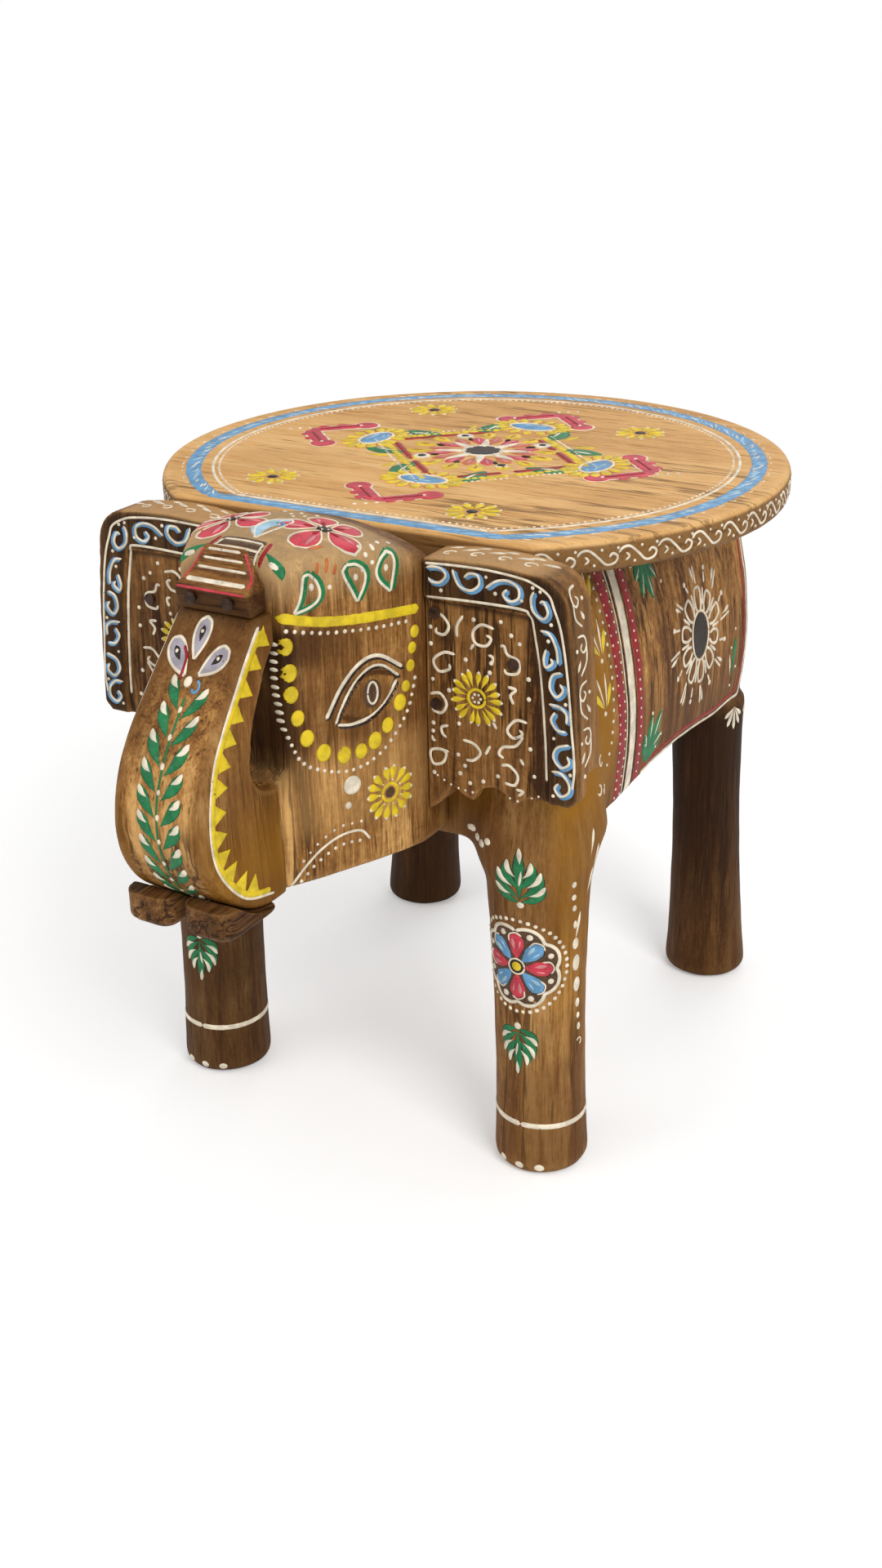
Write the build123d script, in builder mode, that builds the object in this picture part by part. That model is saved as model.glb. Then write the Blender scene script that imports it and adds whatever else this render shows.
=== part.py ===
from build123d import *
import math
import os

# Carved elephant stool: a round seat board on a block body, four turned legs, a carved head
# with its trunk, two flat ears and two tusks, all of wood, glued, dowelled and nailed.
# Millimetres, +Z up, floor at z = 0. The elephant faces -Y and its left side is +X.
# Each size is measured from the piece it belongs to: an "inset" inward from the seat's rim,
# a "rise" or "drop" from the edge it names, a "depth" forward from the forehead's front face.

# ---- seat board
seat_radius = 152.0
seat_thickness = 14.5
seat_rim_bevel = 1.8
seat_front_inset = 31.0    # the straight front edge, against which the head and ears stand

# ---- body block
body_height = 127.5
body_rear_inset = 30.0
body_bottom_inset = 48.0
body_widest_inset = 45.0
body_top_inset = 66.0
body_widest_share = 0.33   # of the body's height, up from its underside
body_corner_round = 24.0
arch_length = 124.0
arch_rise = 5.0

# ---- legs
leg_height = 165.0
leg_inset = 59.2
foot_radius = 23.0
foot_bevel = 2.5
spigot_radius = 11.0
spigot_length = 38.0

# ---- front legs, turned with a waist, leaning in a little, with a flare to a rounded square top
front_leg_setback = 13.0   # of the foot's middle behind the body's front
front_waist_radius = 21.4
front_waist_share = 0.45   # of the leg's height
front_neck_radius = 24.2
front_flare_height = 17.0
front_flare_radius = 42.0
front_lean_inward = 3.0
front_top_width = 54.0
front_top_depth = 66.0
front_top_corner = 23.0
front_top_inward = 5.0
front_top_backward = 8.0
lap_height = 50.0          # the hip, which laps up over the body's front and side
lap_taper = 9.0            # degrees

# ---- rear legs, turned with a waist, leaning in towards the body's middle
rear_leg_inset = 21.0
rear_waist_radius = 18.7
rear_waist_share = 0.6
rear_top_radius = 20.5
rear_lean_inward = 5.5
rear_lean_forward = 1.5

# ---- head
head_rise = 6.0            # of its underside above the body's
head_half_width = 52.0
head_flat_depth = 23.0     # straight part of each side, before the cheeks taper
head_length = 85.0         # from the body's front to the forehead's
cheek_half_front = 21.0
cheek_bulge = 1.5
jaw_depth = 6.0
jaw_height = 50.0
jaw_step = 5.0
crown_rise = 13.0          # above the seat's top
crown_setback = 34.0
crown_sweep_radius = 105.0
temple_drop = 12.5
brow_round = 8.0
jaw_edge_round = 2.5

# ---- brow block above the trunk
brow_top_drop = 2.0        # from the crown
brow_height = 25.0
ledge_rise = 10.0
shelf_rise = 5.0           # above the ledge
ledge_depth = 14.0
ledge_undercut = 3.0
shelf_depth = 5.0
brow_top_depth = 1.5
brow_top_width = 20.0
ledge_width = 36.0

# ---- trunk
trunk_depth = 58.0
trunk_foot = 7.0           # flat length under it, between the jaw and the curl
trunk_root_depth = 9.4
trunk_turn_share = 1.3     # of the slope of the line from the bulge to the root
trunk_top_width = 40.0
trunk_bottom_width = 50.0
trunk_neck_drop = 13.0
throat_depth_share = 0.233
throat_height_share = 0.695
hollow_depth_share = 0.397
hollow_height_share = 0.288
hollow_foot_lean = 0.2      # run to rise, where the hollow comes down on the jaw
trunk_edge_round = 3.0

# ---- ears
ear_thickness = 22.0
ear_inset = 26.5
ear_top_drop = 4.5         # below the seat's top
ear_top_bow = 2.0
ear_shoulder_slope = 2.5
ear_shoulder_inset = 7.0
ear_shoulder_round = 16.0
ear_waist = 2.0
ear_hang = 37.5            # height of the heel above the body's underside
ear_heel_cut = 4.0
scallop_shares = (0.163, 0.313, 0.565, 0.694)   # of the ear's width
scallop_drop = 7.0
scallop_rise = 1.0
scallop_round = 16.0
ear_tip_drop = 15.5
ear_tip_round = 24.0
ear_border_top = 15.0
ear_border_side = 14.5
ear_recess = 2.0
ear_edge_round = 1.5
skirt_gap = 0.3            # round the leg's hip, which the back of the ear is rebated for

# ---- tusks
tusk_half_gap = 2.0
tusk_width = 25.0
tusk_rise = 11.0           # of the top above the trunk's underside, before it is coped
tusk_drop = 3.5
tusk_setback = 6.0
tusk_corner_round = 8.0
tusk_bottom_bevel = 3.0

# ---- dowels and nails
glue_gap = 0.15            # all round each dowel and spigot, and at its ends
seat_dowel_radius = 6.0
seat_dowel_span = 62.0
seat_dowel_in_seat = 7.0
seat_dowel_in_body = 28.0
head_dowel_radius = 7.0
head_dowel_span = 28.0
head_dowel_rise = 69.0
head_dowel_depth = 32.0
trunk_dowel_radius = 4.0
trunk_dowel_depth = 14.0
jaw_dowel_share = 0.5
jaw_dowel_depth = 22.0
neck_dowel_share = 0.42
neck_dowel_depth = 7.0
tusk_dowel_radius = 3.0
tusk_dowel_setback = 30.0
tusk_dowel_in_tusk = 5.0
tusk_dowel_in_trunk = 12.0
nail_radius = 1.3
nail_head_radius = 2.6
nail_head_thickness = 0.8
nail_gap = 0.1
ear_nail_bite = 18.0
ear_nail_spots = ((5.0, 23.5), (5.0, 64.5), (42.0, 40.5))   # out from the head, down from the top
lap_nail_bite = 22.0
lap_nail_spacing = 20.0
lap_nail_drop = 8.0
brow_nail_bite = 18.0
brow_nail_span = 9.0
brow_nail_rise = 6.0

# ---- heights worked out from the sizes above
body_bottom = leg_height
seat_bottom = body_bottom + body_height
seat_top = seat_bottom + seat_thickness
lap_top = body_bottom + lap_height
head_bottom = body_bottom + head_rise
jaw_top = head_bottom + jaw_height
crown_height = seat_top + crown_rise
temple_height = crown_height - temple_drop
brow_top = crown_height - brow_top_drop
brow_bottom = brow_top - brow_height
ledge_height = brow_bottom + ledge_rise
neck_height = brow_bottom - trunk_neck_drop
ear_top = seat_top - ear_top_drop
ear_heel_height = body_bottom + ear_hang

# ---- distances along the stool, whose length from trunk to seat is centred on y = 0
trunk_reach = seat_radius - seat_front_inset + head_length + trunk_depth
seat_y = (trunk_reach - seat_radius) / 2
joint_y = seat_y - seat_radius + seat_front_inset
body_rear_y = seat_y + seat_radius - body_rear_inset
seam_y = joint_y - head_flat_depth
face_y = joint_y - head_length
jaw_y = face_y - jaw_depth
ledge_y = face_y - ledge_depth
ear_front_y = joint_y - ear_thickness
ear_field_y = ear_front_y + ear_recess
front_leg_y = joint_y + front_leg_setback
front_top_y = front_leg_y + front_top_backward
rear_leg_y = body_rear_y - rear_leg_inset
lap_front_y = front_top_y - front_top_depth / 2

# ---- the trunk's curl, a quarter of a cylinder under its bulging front
trunk_y = face_y - trunk_depth
curl_radius = trunk_depth - jaw_depth - trunk_foot
curl_centre_y = trunk_y + curl_radius
bulge_height = head_bottom + curl_radius

# ---- distances to each side
body_half_bottom = seat_radius - body_bottom_inset
body_half_widest = seat_radius - body_widest_inset
body_half_top = seat_radius - body_top_inset
leg_x = seat_radius - leg_inset
front_top_x = leg_x - front_top_inward
ear_x = seat_radius - ear_inset
ear_width = ear_x - head_half_width

os.makedirs("parts", exist_ok=True)


def across(y):
    """The upright plane that faces forward at this y, with X to the right and Z up."""
    return Plane.XZ.offset(-y)


def finish(piece, name):
    piece.part.label = name
    export_step(piece.part, f"parts/{name}.step")


# ---- where the fixings sit
half_span = seat_dowel_span
seat_dowel_spots = [(x, seat_y + y) for x in (-half_span, half_span) for y in (-half_span, half_span)]
front_spigot_spots = [(x, front_top_y) for x in (-leg_x, leg_x)]
rear_spigot_x = leg_x - rear_lean_inward
rear_spigot_spots = [(x, rear_leg_y - rear_lean_forward) for x in (-rear_spigot_x, rear_spigot_x)]
head_dowel_spots = [(x, head_bottom + head_dowel_rise) for x in (-head_dowel_span, head_dowel_span)]
tusk_x = tusk_half_gap + tusk_width / 2
tusk_dowel_y = trunk_y + tusk_dowel_setback
tusk_dowel_spots = [(x, tusk_dowel_y) for x in (-tusk_x, tusk_x)]
curl_drop = math.sqrt(curl_radius**2 - (curl_centre_y - tusk_dowel_y) ** 2)
tusk_seat_height = bulge_height - curl_drop
ear_nail_mouths = [
    (side * (head_half_width + x), ear_top - drop) for side in (-1, 1) for x, drop in ear_nail_spots
]
jaw_dowel_spots = [(0, head_bottom + jaw_dowel_share * jaw_height)]
neck_dowel_spots = [(0, neck_height + neck_dowel_share * trunk_neck_drop)]
brow_nail_spots = [(x, brow_bottom + brow_nail_rise) for x in (-brow_nail_span, brow_nail_span)]
lap_nail_height = lap_top - lap_nail_drop
lap_nail_xs = (leg_x - lap_nail_spacing, leg_x)
lap_nail_mouths = [(side * x, lap_nail_height) for side in (-1, 1) for x in lap_nail_xs]

# ---- seat board: a disc with a straight front edge, where the head and ears stand against it
with BuildPart() as seat_board:
    with BuildSketch(Plane.XY.offset(seat_bottom)):
        with Locations((0, seat_y)):
            Circle(seat_radius)
        with Locations((0, joint_y)):
            Rectangle(2 * seat_radius, seat_radius, align=(Align.CENTER, Align.MAX), mode=Mode.SUBTRACT)
    extrude(amount=seat_thickness)
    chamfer(seat_board.edges().filter_by(GeomType.CIRCLE), seat_rim_bevel)
    with BuildSketch(Plane.XY.offset(seat_bottom)):
        with Locations(*seat_dowel_spots):
            Circle(seat_dowel_radius + glue_gap)
    extrude(amount=seat_dowel_in_seat + glue_gap, mode=Mode.SUBTRACT)
finish(seat_board, "seat_board")

# ---- seat dowels
with BuildPart() as seat_dowels:
    with BuildSketch(Plane.XY.offset(seat_bottom - seat_dowel_in_body)):
        with Locations(*seat_dowel_spots):
            Circle(seat_dowel_radius)
    extrude(amount=seat_dowel_in_body + seat_dowel_in_seat)
finish(seat_dowels, "seat_dowels")

# ---- body block: a barrel-sided block with a shallow arch under the belly
with BuildPart() as body_block:
    with BuildSketch(across(body_rear_y)) as barrel:
        with BuildLine():
            belly = Line((0, body_bottom), (body_half_bottom, body_bottom))
            widest = (body_half_widest, body_bottom + body_widest_share * body_height)
            flank = ThreePointArc(belly @ 1, widest, (body_half_top, seat_bottom))
            Line(flank @ 1, (0, seat_bottom))
            mirror(about=Plane.YZ)
        make_face()
    extrude(amount=body_rear_y - joint_y)
    rear_face = body_block.faces().sort_by(Axis.Y)[-1]
    fillet(rear_face.edges().filter_by(GeomType.CIRCLE), body_corner_round)
    with BuildSketch(Plane.YZ):
        with BuildLine():
            arch_ends = (seat_y - arch_length / 2, seat_y + arch_length / 2)
            arch_crown = (seat_y, body_bottom + arch_rise)
            ThreePointArc((arch_ends[0], body_bottom), arch_crown, (arch_ends[1], body_bottom))
            Line((arch_ends[1], body_bottom), (arch_ends[0], body_bottom))
        make_face()
    extrude(amount=2 * body_half_widest, both=True, mode=Mode.SUBTRACT)
    with BuildSketch(Plane.XY.offset(seat_bottom)):
        with Locations(*seat_dowel_spots):
            Circle(seat_dowel_radius + glue_gap)
    extrude(amount=-seat_dowel_in_body - glue_gap, mode=Mode.SUBTRACT)
    with BuildSketch(Plane.XY.offset(body_bottom)):
        with Locations(*front_spigot_spots, *rear_spigot_spots):
            Circle(spigot_radius + glue_gap)
    extrude(amount=spigot_length + glue_gap, mode=Mode.SUBTRACT)
    with BuildSketch(across(joint_y)):
        with Locations(*head_dowel_spots):
            Circle(head_dowel_radius + glue_gap)
    extrude(amount=-head_dowel_depth - glue_gap, mode=Mode.SUBTRACT)
    with BuildSketch(across(joint_y)):
        with Locations(*ear_nail_mouths):
            Circle(nail_radius + nail_gap)
    extrude(amount=-ear_nail_bite - nail_gap, mode=Mode.SUBTRACT)
    with BuildSketch(across(joint_y)):
        with Locations(*lap_nail_mouths):
            Circle(nail_radius + nail_gap)
    extrude(amount=-lap_nail_bite - nail_gap, mode=Mode.SUBTRACT)
finish(body_block, "body_block")

# ---- front legs: turned, with a flare trimmed to a square top under the body's corner, a spigot
# up into the body and a tapered hip that laps over the body's front and side, behind the ear
with BuildPart() as leg_front_left:
    lean = Plane((leg_x, front_leg_y, 0), z_dir=(-front_lean_inward, 0, leg_height))
    with BuildSketch(Plane(lean.origin, x_dir=lean.x_dir, z_dir=-lean.y_dir)):
        with BuildLine():
            sole = Line((0, -foot_bevel), (foot_radius, -foot_bevel))
            waist = (front_waist_radius, front_waist_share * leg_height)
            neck = (front_neck_radius, leg_height - front_flare_height)
            shaft = ThreePointArc(sole @ 1, waist, neck)
            flare = TangentArc(neck, (front_flare_radius, leg_height + foot_bevel), tangent=shaft % 1)
            Polyline(flare @ 1, (0, leg_height + foot_bevel), (0, -foot_bevel))
        make_face()
    revolve(axis=Axis(lean.origin, lean.z_dir))
    split(bisect_by=Plane.XY, keep=Keep.TOP)
    chamfer(leg_front_left.faces().sort_by(Axis.Z)[0].edges(), foot_bevel)
    with BuildSketch(Plane((front_top_x, front_top_y, 0))):
        RectangleRounded(front_top_width, front_top_depth, front_top_corner)
    extrude(amount=leg_height, mode=Mode.INTERSECT)
    with BuildSketch(Plane((front_top_x, front_top_y, body_bottom))):
        RectangleRounded(front_top_width, front_top_depth, front_top_corner)
    extrude(amount=lap_height, taper=lap_taper)
    extrude(barrel.sketch, amount=body_rear_y - joint_y, mode=Mode.SUBTRACT)
    with BuildSketch(Plane.XY.offset(body_bottom)):
        with Locations(front_spigot_spots[1]):
            Circle(spigot_radius)
    extrude(amount=spigot_length)
    with BuildSketch(across(joint_y)):
        with Locations(*[(x, lap_nail_height) for x in lap_nail_xs]):
            Circle(nail_radius + nail_gap)
    extrude(amount=joint_y - lap_front_y, mode=Mode.SUBTRACT)
finish(leg_front_left, "leg_front_left")

with BuildPart() as leg_front_right:
    mirror(leg_front_left.part, about=Plane.YZ)
finish(leg_front_right, "leg_front_right")

# ---- rear legs: turned with a slim waist, leaning in, sawn level at the floor and at the body
with BuildPart() as leg_rear_left:
    lean = Plane((leg_x, rear_leg_y, 0), z_dir=(-rear_lean_inward, -rear_lean_forward, leg_height))
    with BuildSketch(Plane(lean.origin, x_dir=lean.x_dir, z_dir=-lean.y_dir)):
        with BuildLine():
            sole = Line((0, -foot_bevel), (foot_radius, -foot_bevel))
            waist = (rear_waist_radius, rear_waist_share * leg_height)
            shaft = ThreePointArc(sole @ 1, waist, (rear_top_radius, leg_height + foot_bevel))
            Polyline(shaft @ 1, (0, leg_height + foot_bevel), (0, -foot_bevel))
        make_face()
    revolve(axis=Axis(lean.origin, lean.z_dir))
    split(bisect_by=Plane.XY, keep=Keep.TOP)
    split(bisect_by=Plane.XY.offset(body_bottom), keep=Keep.BOTTOM)
    chamfer(leg_rear_left.faces().sort_by(Axis.Z)[0].edges(), foot_bevel)
    with BuildSketch(Plane.XY.offset(body_bottom)):
        with Locations(rear_spigot_spots[1]):
            Circle(spigot_radius)
    extrude(amount=spigot_length)
finish(leg_rear_left, "leg_rear_left")

with BuildPart() as leg_rear_right:
    mirror(leg_rear_left.part, about=Plane.YZ)
finish(leg_rear_right, "leg_rear_right")

# ---- nails through the front legs' hips
with BuildPart() as leg_nails:
    with BuildSketch(across(joint_y + lap_nail_bite)):
        with Locations(*lap_nail_mouths):
            Circle(nail_radius)
    extrude(amount=joint_y - lap_front_y + lap_nail_bite)
finish(leg_nails, "leg_nails")

# ---- head block: a wedge with flat cheeks, a jaw that steps forward and a domed forehead
with BuildPart() as head_block:
    with BuildSketch(Plane.XY.offset(head_bottom)):
        with BuildLine():
            front = Line((0, jaw_y), (cheek_half_front, jaw_y))
            cheek_middle_x = (cheek_half_front + head_half_width) / 2 + cheek_bulge
            cheek_middle_y = (jaw_y + seam_y) / 2 - cheek_bulge
            cheek = ThreePointArc(front @ 1, (cheek_middle_x, cheek_middle_y), (head_half_width, seam_y))
            side = Line(cheek @ 1, (head_half_width, joint_y))
            Line(side @ 1, (0, joint_y))
            mirror(about=Plane.YZ)
        make_face()
    extrude(amount=crown_height - head_bottom)
    crown_y = face_y + crown_setback
    crown_axis_height = crown_height - crown_sweep_radius
    with BuildSketch(across(crown_y)):
        with BuildLine():
            left_temple = (head_half_width, temple_height)
            right_temple = (-head_half_width, temple_height)
            ThreePointArc(right_temple, (0, crown_height), left_temple)
            left_foot = (head_half_width, crown_axis_height)
            right_foot = (-head_half_width, crown_axis_height)
            Polyline(left_temple, left_foot, right_foot, right_temple)
        make_face()
    revolve(axis=Axis((0, crown_y, crown_axis_height), (1, 0, 0)), mode=Mode.INTERSECT)
    with BuildSketch(Plane.YZ):
        with BuildLine():
            step_foot = (jaw_y, jaw_top)
            step_back = (face_y, jaw_top + jaw_step)
            Polyline(step_foot, step_back, (face_y, crown_height), (jaw_y, crown_height), close=True)
        make_face()
    extrude(amount=head_half_width, both=True, mode=Mode.SUBTRACT)
    dome_edges = head_block.faces().sort_by(Axis.Z)[-1].edges().sort_by(Axis.Y)
    fillet(dome_edges[:-1], brow_round)
    under_edges = head_block.faces().sort_by(Axis.Z)[0].edges().sort_by(Axis.Y)
    fillet(under_edges[:-1], jaw_edge_round)
    with BuildSketch(across(joint_y)):
        with Locations(*head_dowel_spots):
            Circle(head_dowel_radius + glue_gap)
    extrude(amount=head_dowel_depth + glue_gap, mode=Mode.SUBTRACT)
    with BuildSketch(across(jaw_y)):
        with Locations(*jaw_dowel_spots):
            Circle(trunk_dowel_radius + glue_gap)
    extrude(amount=-jaw_dowel_depth - glue_gap, mode=Mode.SUBTRACT)
    with BuildSketch(across(face_y)):
        with Locations(*neck_dowel_spots):
            Circle(trunk_dowel_radius + glue_gap)
    extrude(amount=-trunk_dowel_depth - glue_gap, mode=Mode.SUBTRACT)
    with BuildSketch(across(face_y)):
        with Locations(*brow_nail_spots):
            Circle(nail_radius + nail_gap)
    extrude(amount=-brow_nail_bite - nail_gap, mode=Mode.SUBTRACT)
finish(head_block, "head_block")

with BuildPart() as head_dowels:
    with BuildSketch(across(joint_y + head_dowel_depth)):
        with Locations(*head_dowel_spots):
            Circle(head_dowel_radius)
    extrude(amount=2 * head_dowel_depth)
finish(head_dowels, "head_dowels")

# ---- brow block: a stepped block over the trunk's root, narrower at the top, with a ledge
with BuildPart() as brow_block:
    with BuildSketch(Plane.YZ):
        with BuildLine():
            Polyline(
                (face_y, brow_bottom),
                (ledge_y + ledge_undercut, brow_bottom),
                (ledge_y, ledge_height),
                (face_y - shelf_depth, ledge_height + shelf_rise),
                (face_y - brow_top_depth, brow_top),
                (face_y, brow_top),
                close=True,
            )
        make_face()
    extrude(amount=ledge_width / 2, both=True)
    with BuildSketch(across(face_y)):
        with BuildLine():
            Polyline(
                (ledge_width / 2, brow_bottom),
                (ledge_width / 2, ledge_height),
                (brow_top_width / 2, brow_top),
                (-brow_top_width / 2, brow_top),
                (-ledge_width / 2, ledge_height),
                (-ledge_width / 2, brow_bottom),
                close=True,
            )
        make_face()
    extrude(amount=ledge_depth, mode=Mode.INTERSECT)
    with BuildSketch(across(face_y)):
        with Locations(*brow_nail_spots):
            Circle(nail_radius + nail_gap)
    extrude(amount=ledge_depth, mode=Mode.SUBTRACT)
finish(brow_block, "brow_block")

with BuildPart() as brow_nails:
    with BuildSketch(across(face_y + brow_nail_bite)):
        with Locations(*brow_nail_spots):
            Circle(nail_radius)
    extrude(amount=brow_nail_bite + ledge_depth)
    with BuildSketch(across(ledge_y)):
        with Locations(*brow_nail_spots):
            Circle(nail_head_radius)
    extrude(amount=nail_head_thickness)
finish(brow_nails, "brow_nails")

# ---- trunk: a thick board, sawn to a bulging curve and curled under at the foot
with BuildPart() as trunk:
    run = trunk_depth - trunk_root_depth
    rise = brow_bottom - bulge_height
    turn = trunk_turn_share * math.atan2(run, rise)
    upper_radius = (rise * math.sin(turn) - run * math.cos(turn)) / (1 - math.cos(turn))
    with BuildSketch(Plane.YZ):
        with BuildLine():
            bulge = (trunk_y, bulge_height)
            curl = TangentArc(bulge, (curl_centre_y, head_bottom), tangent=(0, -1))
            upper = JernArc(bulge, tangent=(0, 1), radius=upper_radius, arc_size=-math.degrees(turn))
            root = (face_y - trunk_root_depth, brow_bottom)
            Line(upper @ 1, root)
            neck = Polyline(root, (face_y, brow_bottom), (face_y, neck_height))
            throat_height = jaw_top + throat_height_share * (neck_height - jaw_top)
            throat = (face_y - throat_depth_share * trunk_depth, throat_height)
            hollow_height = jaw_top + hollow_height_share * (neck_height - jaw_top)
            hollow = (face_y - hollow_depth_share * trunk_depth, hollow_height)
            ThreePointArc(neck @ 1, throat, hollow)
            TangentArc(hollow, (jaw_y, jaw_top), tangent=(-hollow_foot_lean, -1))
            Polyline((jaw_y, jaw_top), (jaw_y, head_bottom), curl @ 1)
        make_face()
    extrude(amount=trunk_bottom_width / 2, both=True)
    with BuildSketch(across(face_y)):
        with BuildLine():
            Polyline(
                (trunk_bottom_width / 2, head_bottom),
                (trunk_top_width / 2, brow_bottom),
                (-trunk_top_width / 2, brow_bottom),
                (-trunk_bottom_width / 2, head_bottom),
                close=True,
            )
        make_face()
    extrude(amount=trunk_depth, mode=Mode.INTERSECT)
    front_edges = trunk.edges().filter_by(lambda e: e.center().Y < hollow[0] - trunk_edge_round)
    fillet(front_edges.filter_by(Axis.X, reverse=True), trunk_edge_round)
    with BuildSketch(across(jaw_y)):
        with Locations(*jaw_dowel_spots):
            Circle(trunk_dowel_radius + glue_gap)
    extrude(amount=jaw_dowel_depth + glue_gap, mode=Mode.SUBTRACT)
    with BuildSketch(across(face_y)):
        with Locations(*neck_dowel_spots):
            Circle(trunk_dowel_radius + glue_gap)
    extrude(amount=neck_dowel_depth + glue_gap, mode=Mode.SUBTRACT)
    with BuildSketch(Plane.XY.offset(tusk_seat_height + tusk_dowel_in_trunk + glue_gap)):
        with Locations(*tusk_dowel_spots):
            Circle(tusk_dowel_radius + glue_gap)
    extrude(amount=-2 * tusk_dowel_in_trunk, mode=Mode.SUBTRACT)
finish(trunk, "trunk")

with BuildPart() as trunk_dowels:
    with BuildSketch(across(jaw_y + jaw_dowel_depth)):
        with Locations(*jaw_dowel_spots):
            Circle(trunk_dowel_radius)
    extrude(amount=2 * jaw_dowel_depth)
    with BuildSketch(across(face_y + trunk_dowel_depth)):
        with Locations(*neck_dowel_spots):
            Circle(trunk_dowel_radius)
    extrude(amount=trunk_dowel_depth + neck_dowel_depth)
finish(trunk_dowels, "trunk_dowels")

# ---- ears: flat boards with a rounded shoulder, a scalloped lower edge and a sunk field
# inside a raised border, rebated at the back over the front leg's hip
with BuildPart() as ear_left:
    with BuildSketch(across(joint_y)):
        with BuildLine():
            root_top = (head_half_width, ear_top)
            shoulder = (ear_x - ear_shoulder_inset, ear_top - ear_shoulder_slope)
            ThreePointArc(root_top, (head_half_width + ear_width / 2, ear_top + ear_top_bow), shoulder)
            side_middle = (ear_x - ear_waist, (ear_top + ear_heel_height) / 2)
            heel = (ear_x, ear_heel_height)
            ThreePointArc(shoulder, side_middle, heel)
            notch_x, cusp_in, cusp_out, flat_x = (head_half_width + s * ear_width for s in scallop_shares)
            cusp_height = ear_heel_height - scallop_drop
            crown_top = ear_heel_height + scallop_rise
            heel_flat = Line(heel, (flat_x, ear_heel_height))
            RadiusArc(heel_flat @ 1, (cusp_out, cusp_height), -scallop_round)
            arch_top = ((cusp_in + cusp_out) / 2, crown_top)
            ThreePointArc((cusp_out, cusp_height), arch_top, (cusp_in, cusp_height))
            notch = (notch_x, ear_heel_height - scallop_rise)
            RadiusArc((cusp_in, cusp_height), notch, scallop_round)
            tip = (head_half_width, ear_heel_height - ear_tip_drop)
            RadiusArc(notch, tip, ear_tip_round)
            Line(tip, root_top)
        make_face()
        chamfer(vertices().sort_by(Axis.X)[-1], ear_heel_cut)
        upper_corners = vertices().filter_by(lambda v: v.Y > side_middle[1])
        fillet(upper_corners.sort_by(Axis.X)[-1], ear_shoulder_round)
    extrude(amount=ear_thickness)
    front_edges = ear_left.faces().sort_by(Axis.Y)[0].edges()
    edge_foot = (side_middle[1] + ear_heel_height) / 2
    outer_edges = front_edges.filter_by(lambda e: e.center().X > head_half_width + ear_edge_round)
    fillet(outer_edges.filter_by(lambda e: e.center().Z > edge_foot), ear_edge_round)
    with BuildSketch(across(ear_front_y)):
        with BuildLine():
            field_top_in = (head_half_width - ear_recess, ear_top - ear_border_top - ear_recess)
            field_top_out = (shoulder[0] - ear_border_side, shoulder[1] - ear_border_top)
            field_side = (side_middle[0] - ear_border_side, side_middle[1])
            field_foot_out = (heel[0] - ear_border_side, tip[1] - ear_recess)
            field_foot_in = (head_half_width - ear_recess, tip[1] - ear_recess)
            ThreePointArc(field_top_out, field_side, field_foot_out)
            Polyline(field_foot_out, field_foot_in, field_top_in, field_top_out)
        make_face()
    extrude(amount=-ear_recess, mode=Mode.SUBTRACT)
    lap_inner_x = front_top_x - front_top_width / 2
    with BuildSketch(across(joint_y)):
        with Locations((lap_inner_x - skirt_gap, lap_top + skirt_gap)):
            Rectangle(ear_width + skirt_gap, lap_height, align=(Align.MIN, Align.MAX))
    extrude(amount=joint_y - lap_front_y + skirt_gap, mode=Mode.SUBTRACT)
    with BuildSketch(across(joint_y)):
        with Locations(*ear_nail_mouths):
            Circle(nail_radius + nail_gap)
    extrude(amount=ear_thickness, mode=Mode.SUBTRACT)
finish(ear_left, "ear_left")

with BuildPart() as ear_right:
    mirror(ear_left.part, about=Plane.YZ)
finish(ear_right, "ear_right")

with BuildPart() as ear_nails:
    with BuildSketch(across(joint_y + ear_nail_bite)):
        with Locations(*ear_nail_mouths):
            Circle(nail_radius)
    extrude(amount=ear_nail_bite + joint_y - ear_field_y)
    with BuildSketch(across(ear_field_y)):
        with Locations(*ear_nail_mouths):
            Circle(nail_head_radius)
    extrude(amount=nail_head_thickness)
finish(ear_nails, "ear_nails")

# ---- tusks: short blunt stubs, coped to the trunk's curl and pegged up into it
with BuildPart() as tusk_left:
    tusk_length = curl_radius - tusk_setback
    with BuildSketch(Plane.XY.offset(head_bottom - tusk_drop)):
        with Locations((tusk_x, curl_centre_y - tusk_length / 2)):
            RectangleRounded(tusk_width, tusk_length, tusk_corner_round)
    extrude(amount=tusk_rise + tusk_drop)
    chamfer(tusk_left.faces().sort_by(Axis.Z)[0].edges(), tusk_bottom_bevel)
    with BuildSketch(Plane.YZ):
        with Locations((curl_centre_y, bulge_height)):
            Circle(curl_radius)
    extrude(amount=2 * tusk_width, both=True, mode=Mode.SUBTRACT)
    with BuildSketch(Plane.XY.offset(tusk_seat_height - tusk_dowel_in_tusk - glue_gap)):
        with Locations((tusk_x, tusk_dowel_y)):
            Circle(tusk_dowel_radius + glue_gap)
    extrude(amount=2 * tusk_dowel_in_tusk, mode=Mode.SUBTRACT)
finish(tusk_left, "tusk_left")

with BuildPart() as tusk_right:
    mirror(tusk_left.part, about=Plane.YZ)
finish(tusk_right, "tusk_right")

with BuildPart() as tusk_dowels:
    with BuildSketch(Plane.XY.offset(tusk_seat_height - tusk_dowel_in_tusk)):
        with Locations(*tusk_dowel_spots):
            Circle(tusk_dowel_radius)
    extrude(amount=tusk_dowel_in_tusk + tusk_dowel_in_trunk)
finish(tusk_dowels, "tusk_dowels")
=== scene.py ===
import math
import random

import bmesh
import bpy
import numpy as np
from mathutils import Matrix, Vector, noise
from mathutils.bvhtree import BVHTree


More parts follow.
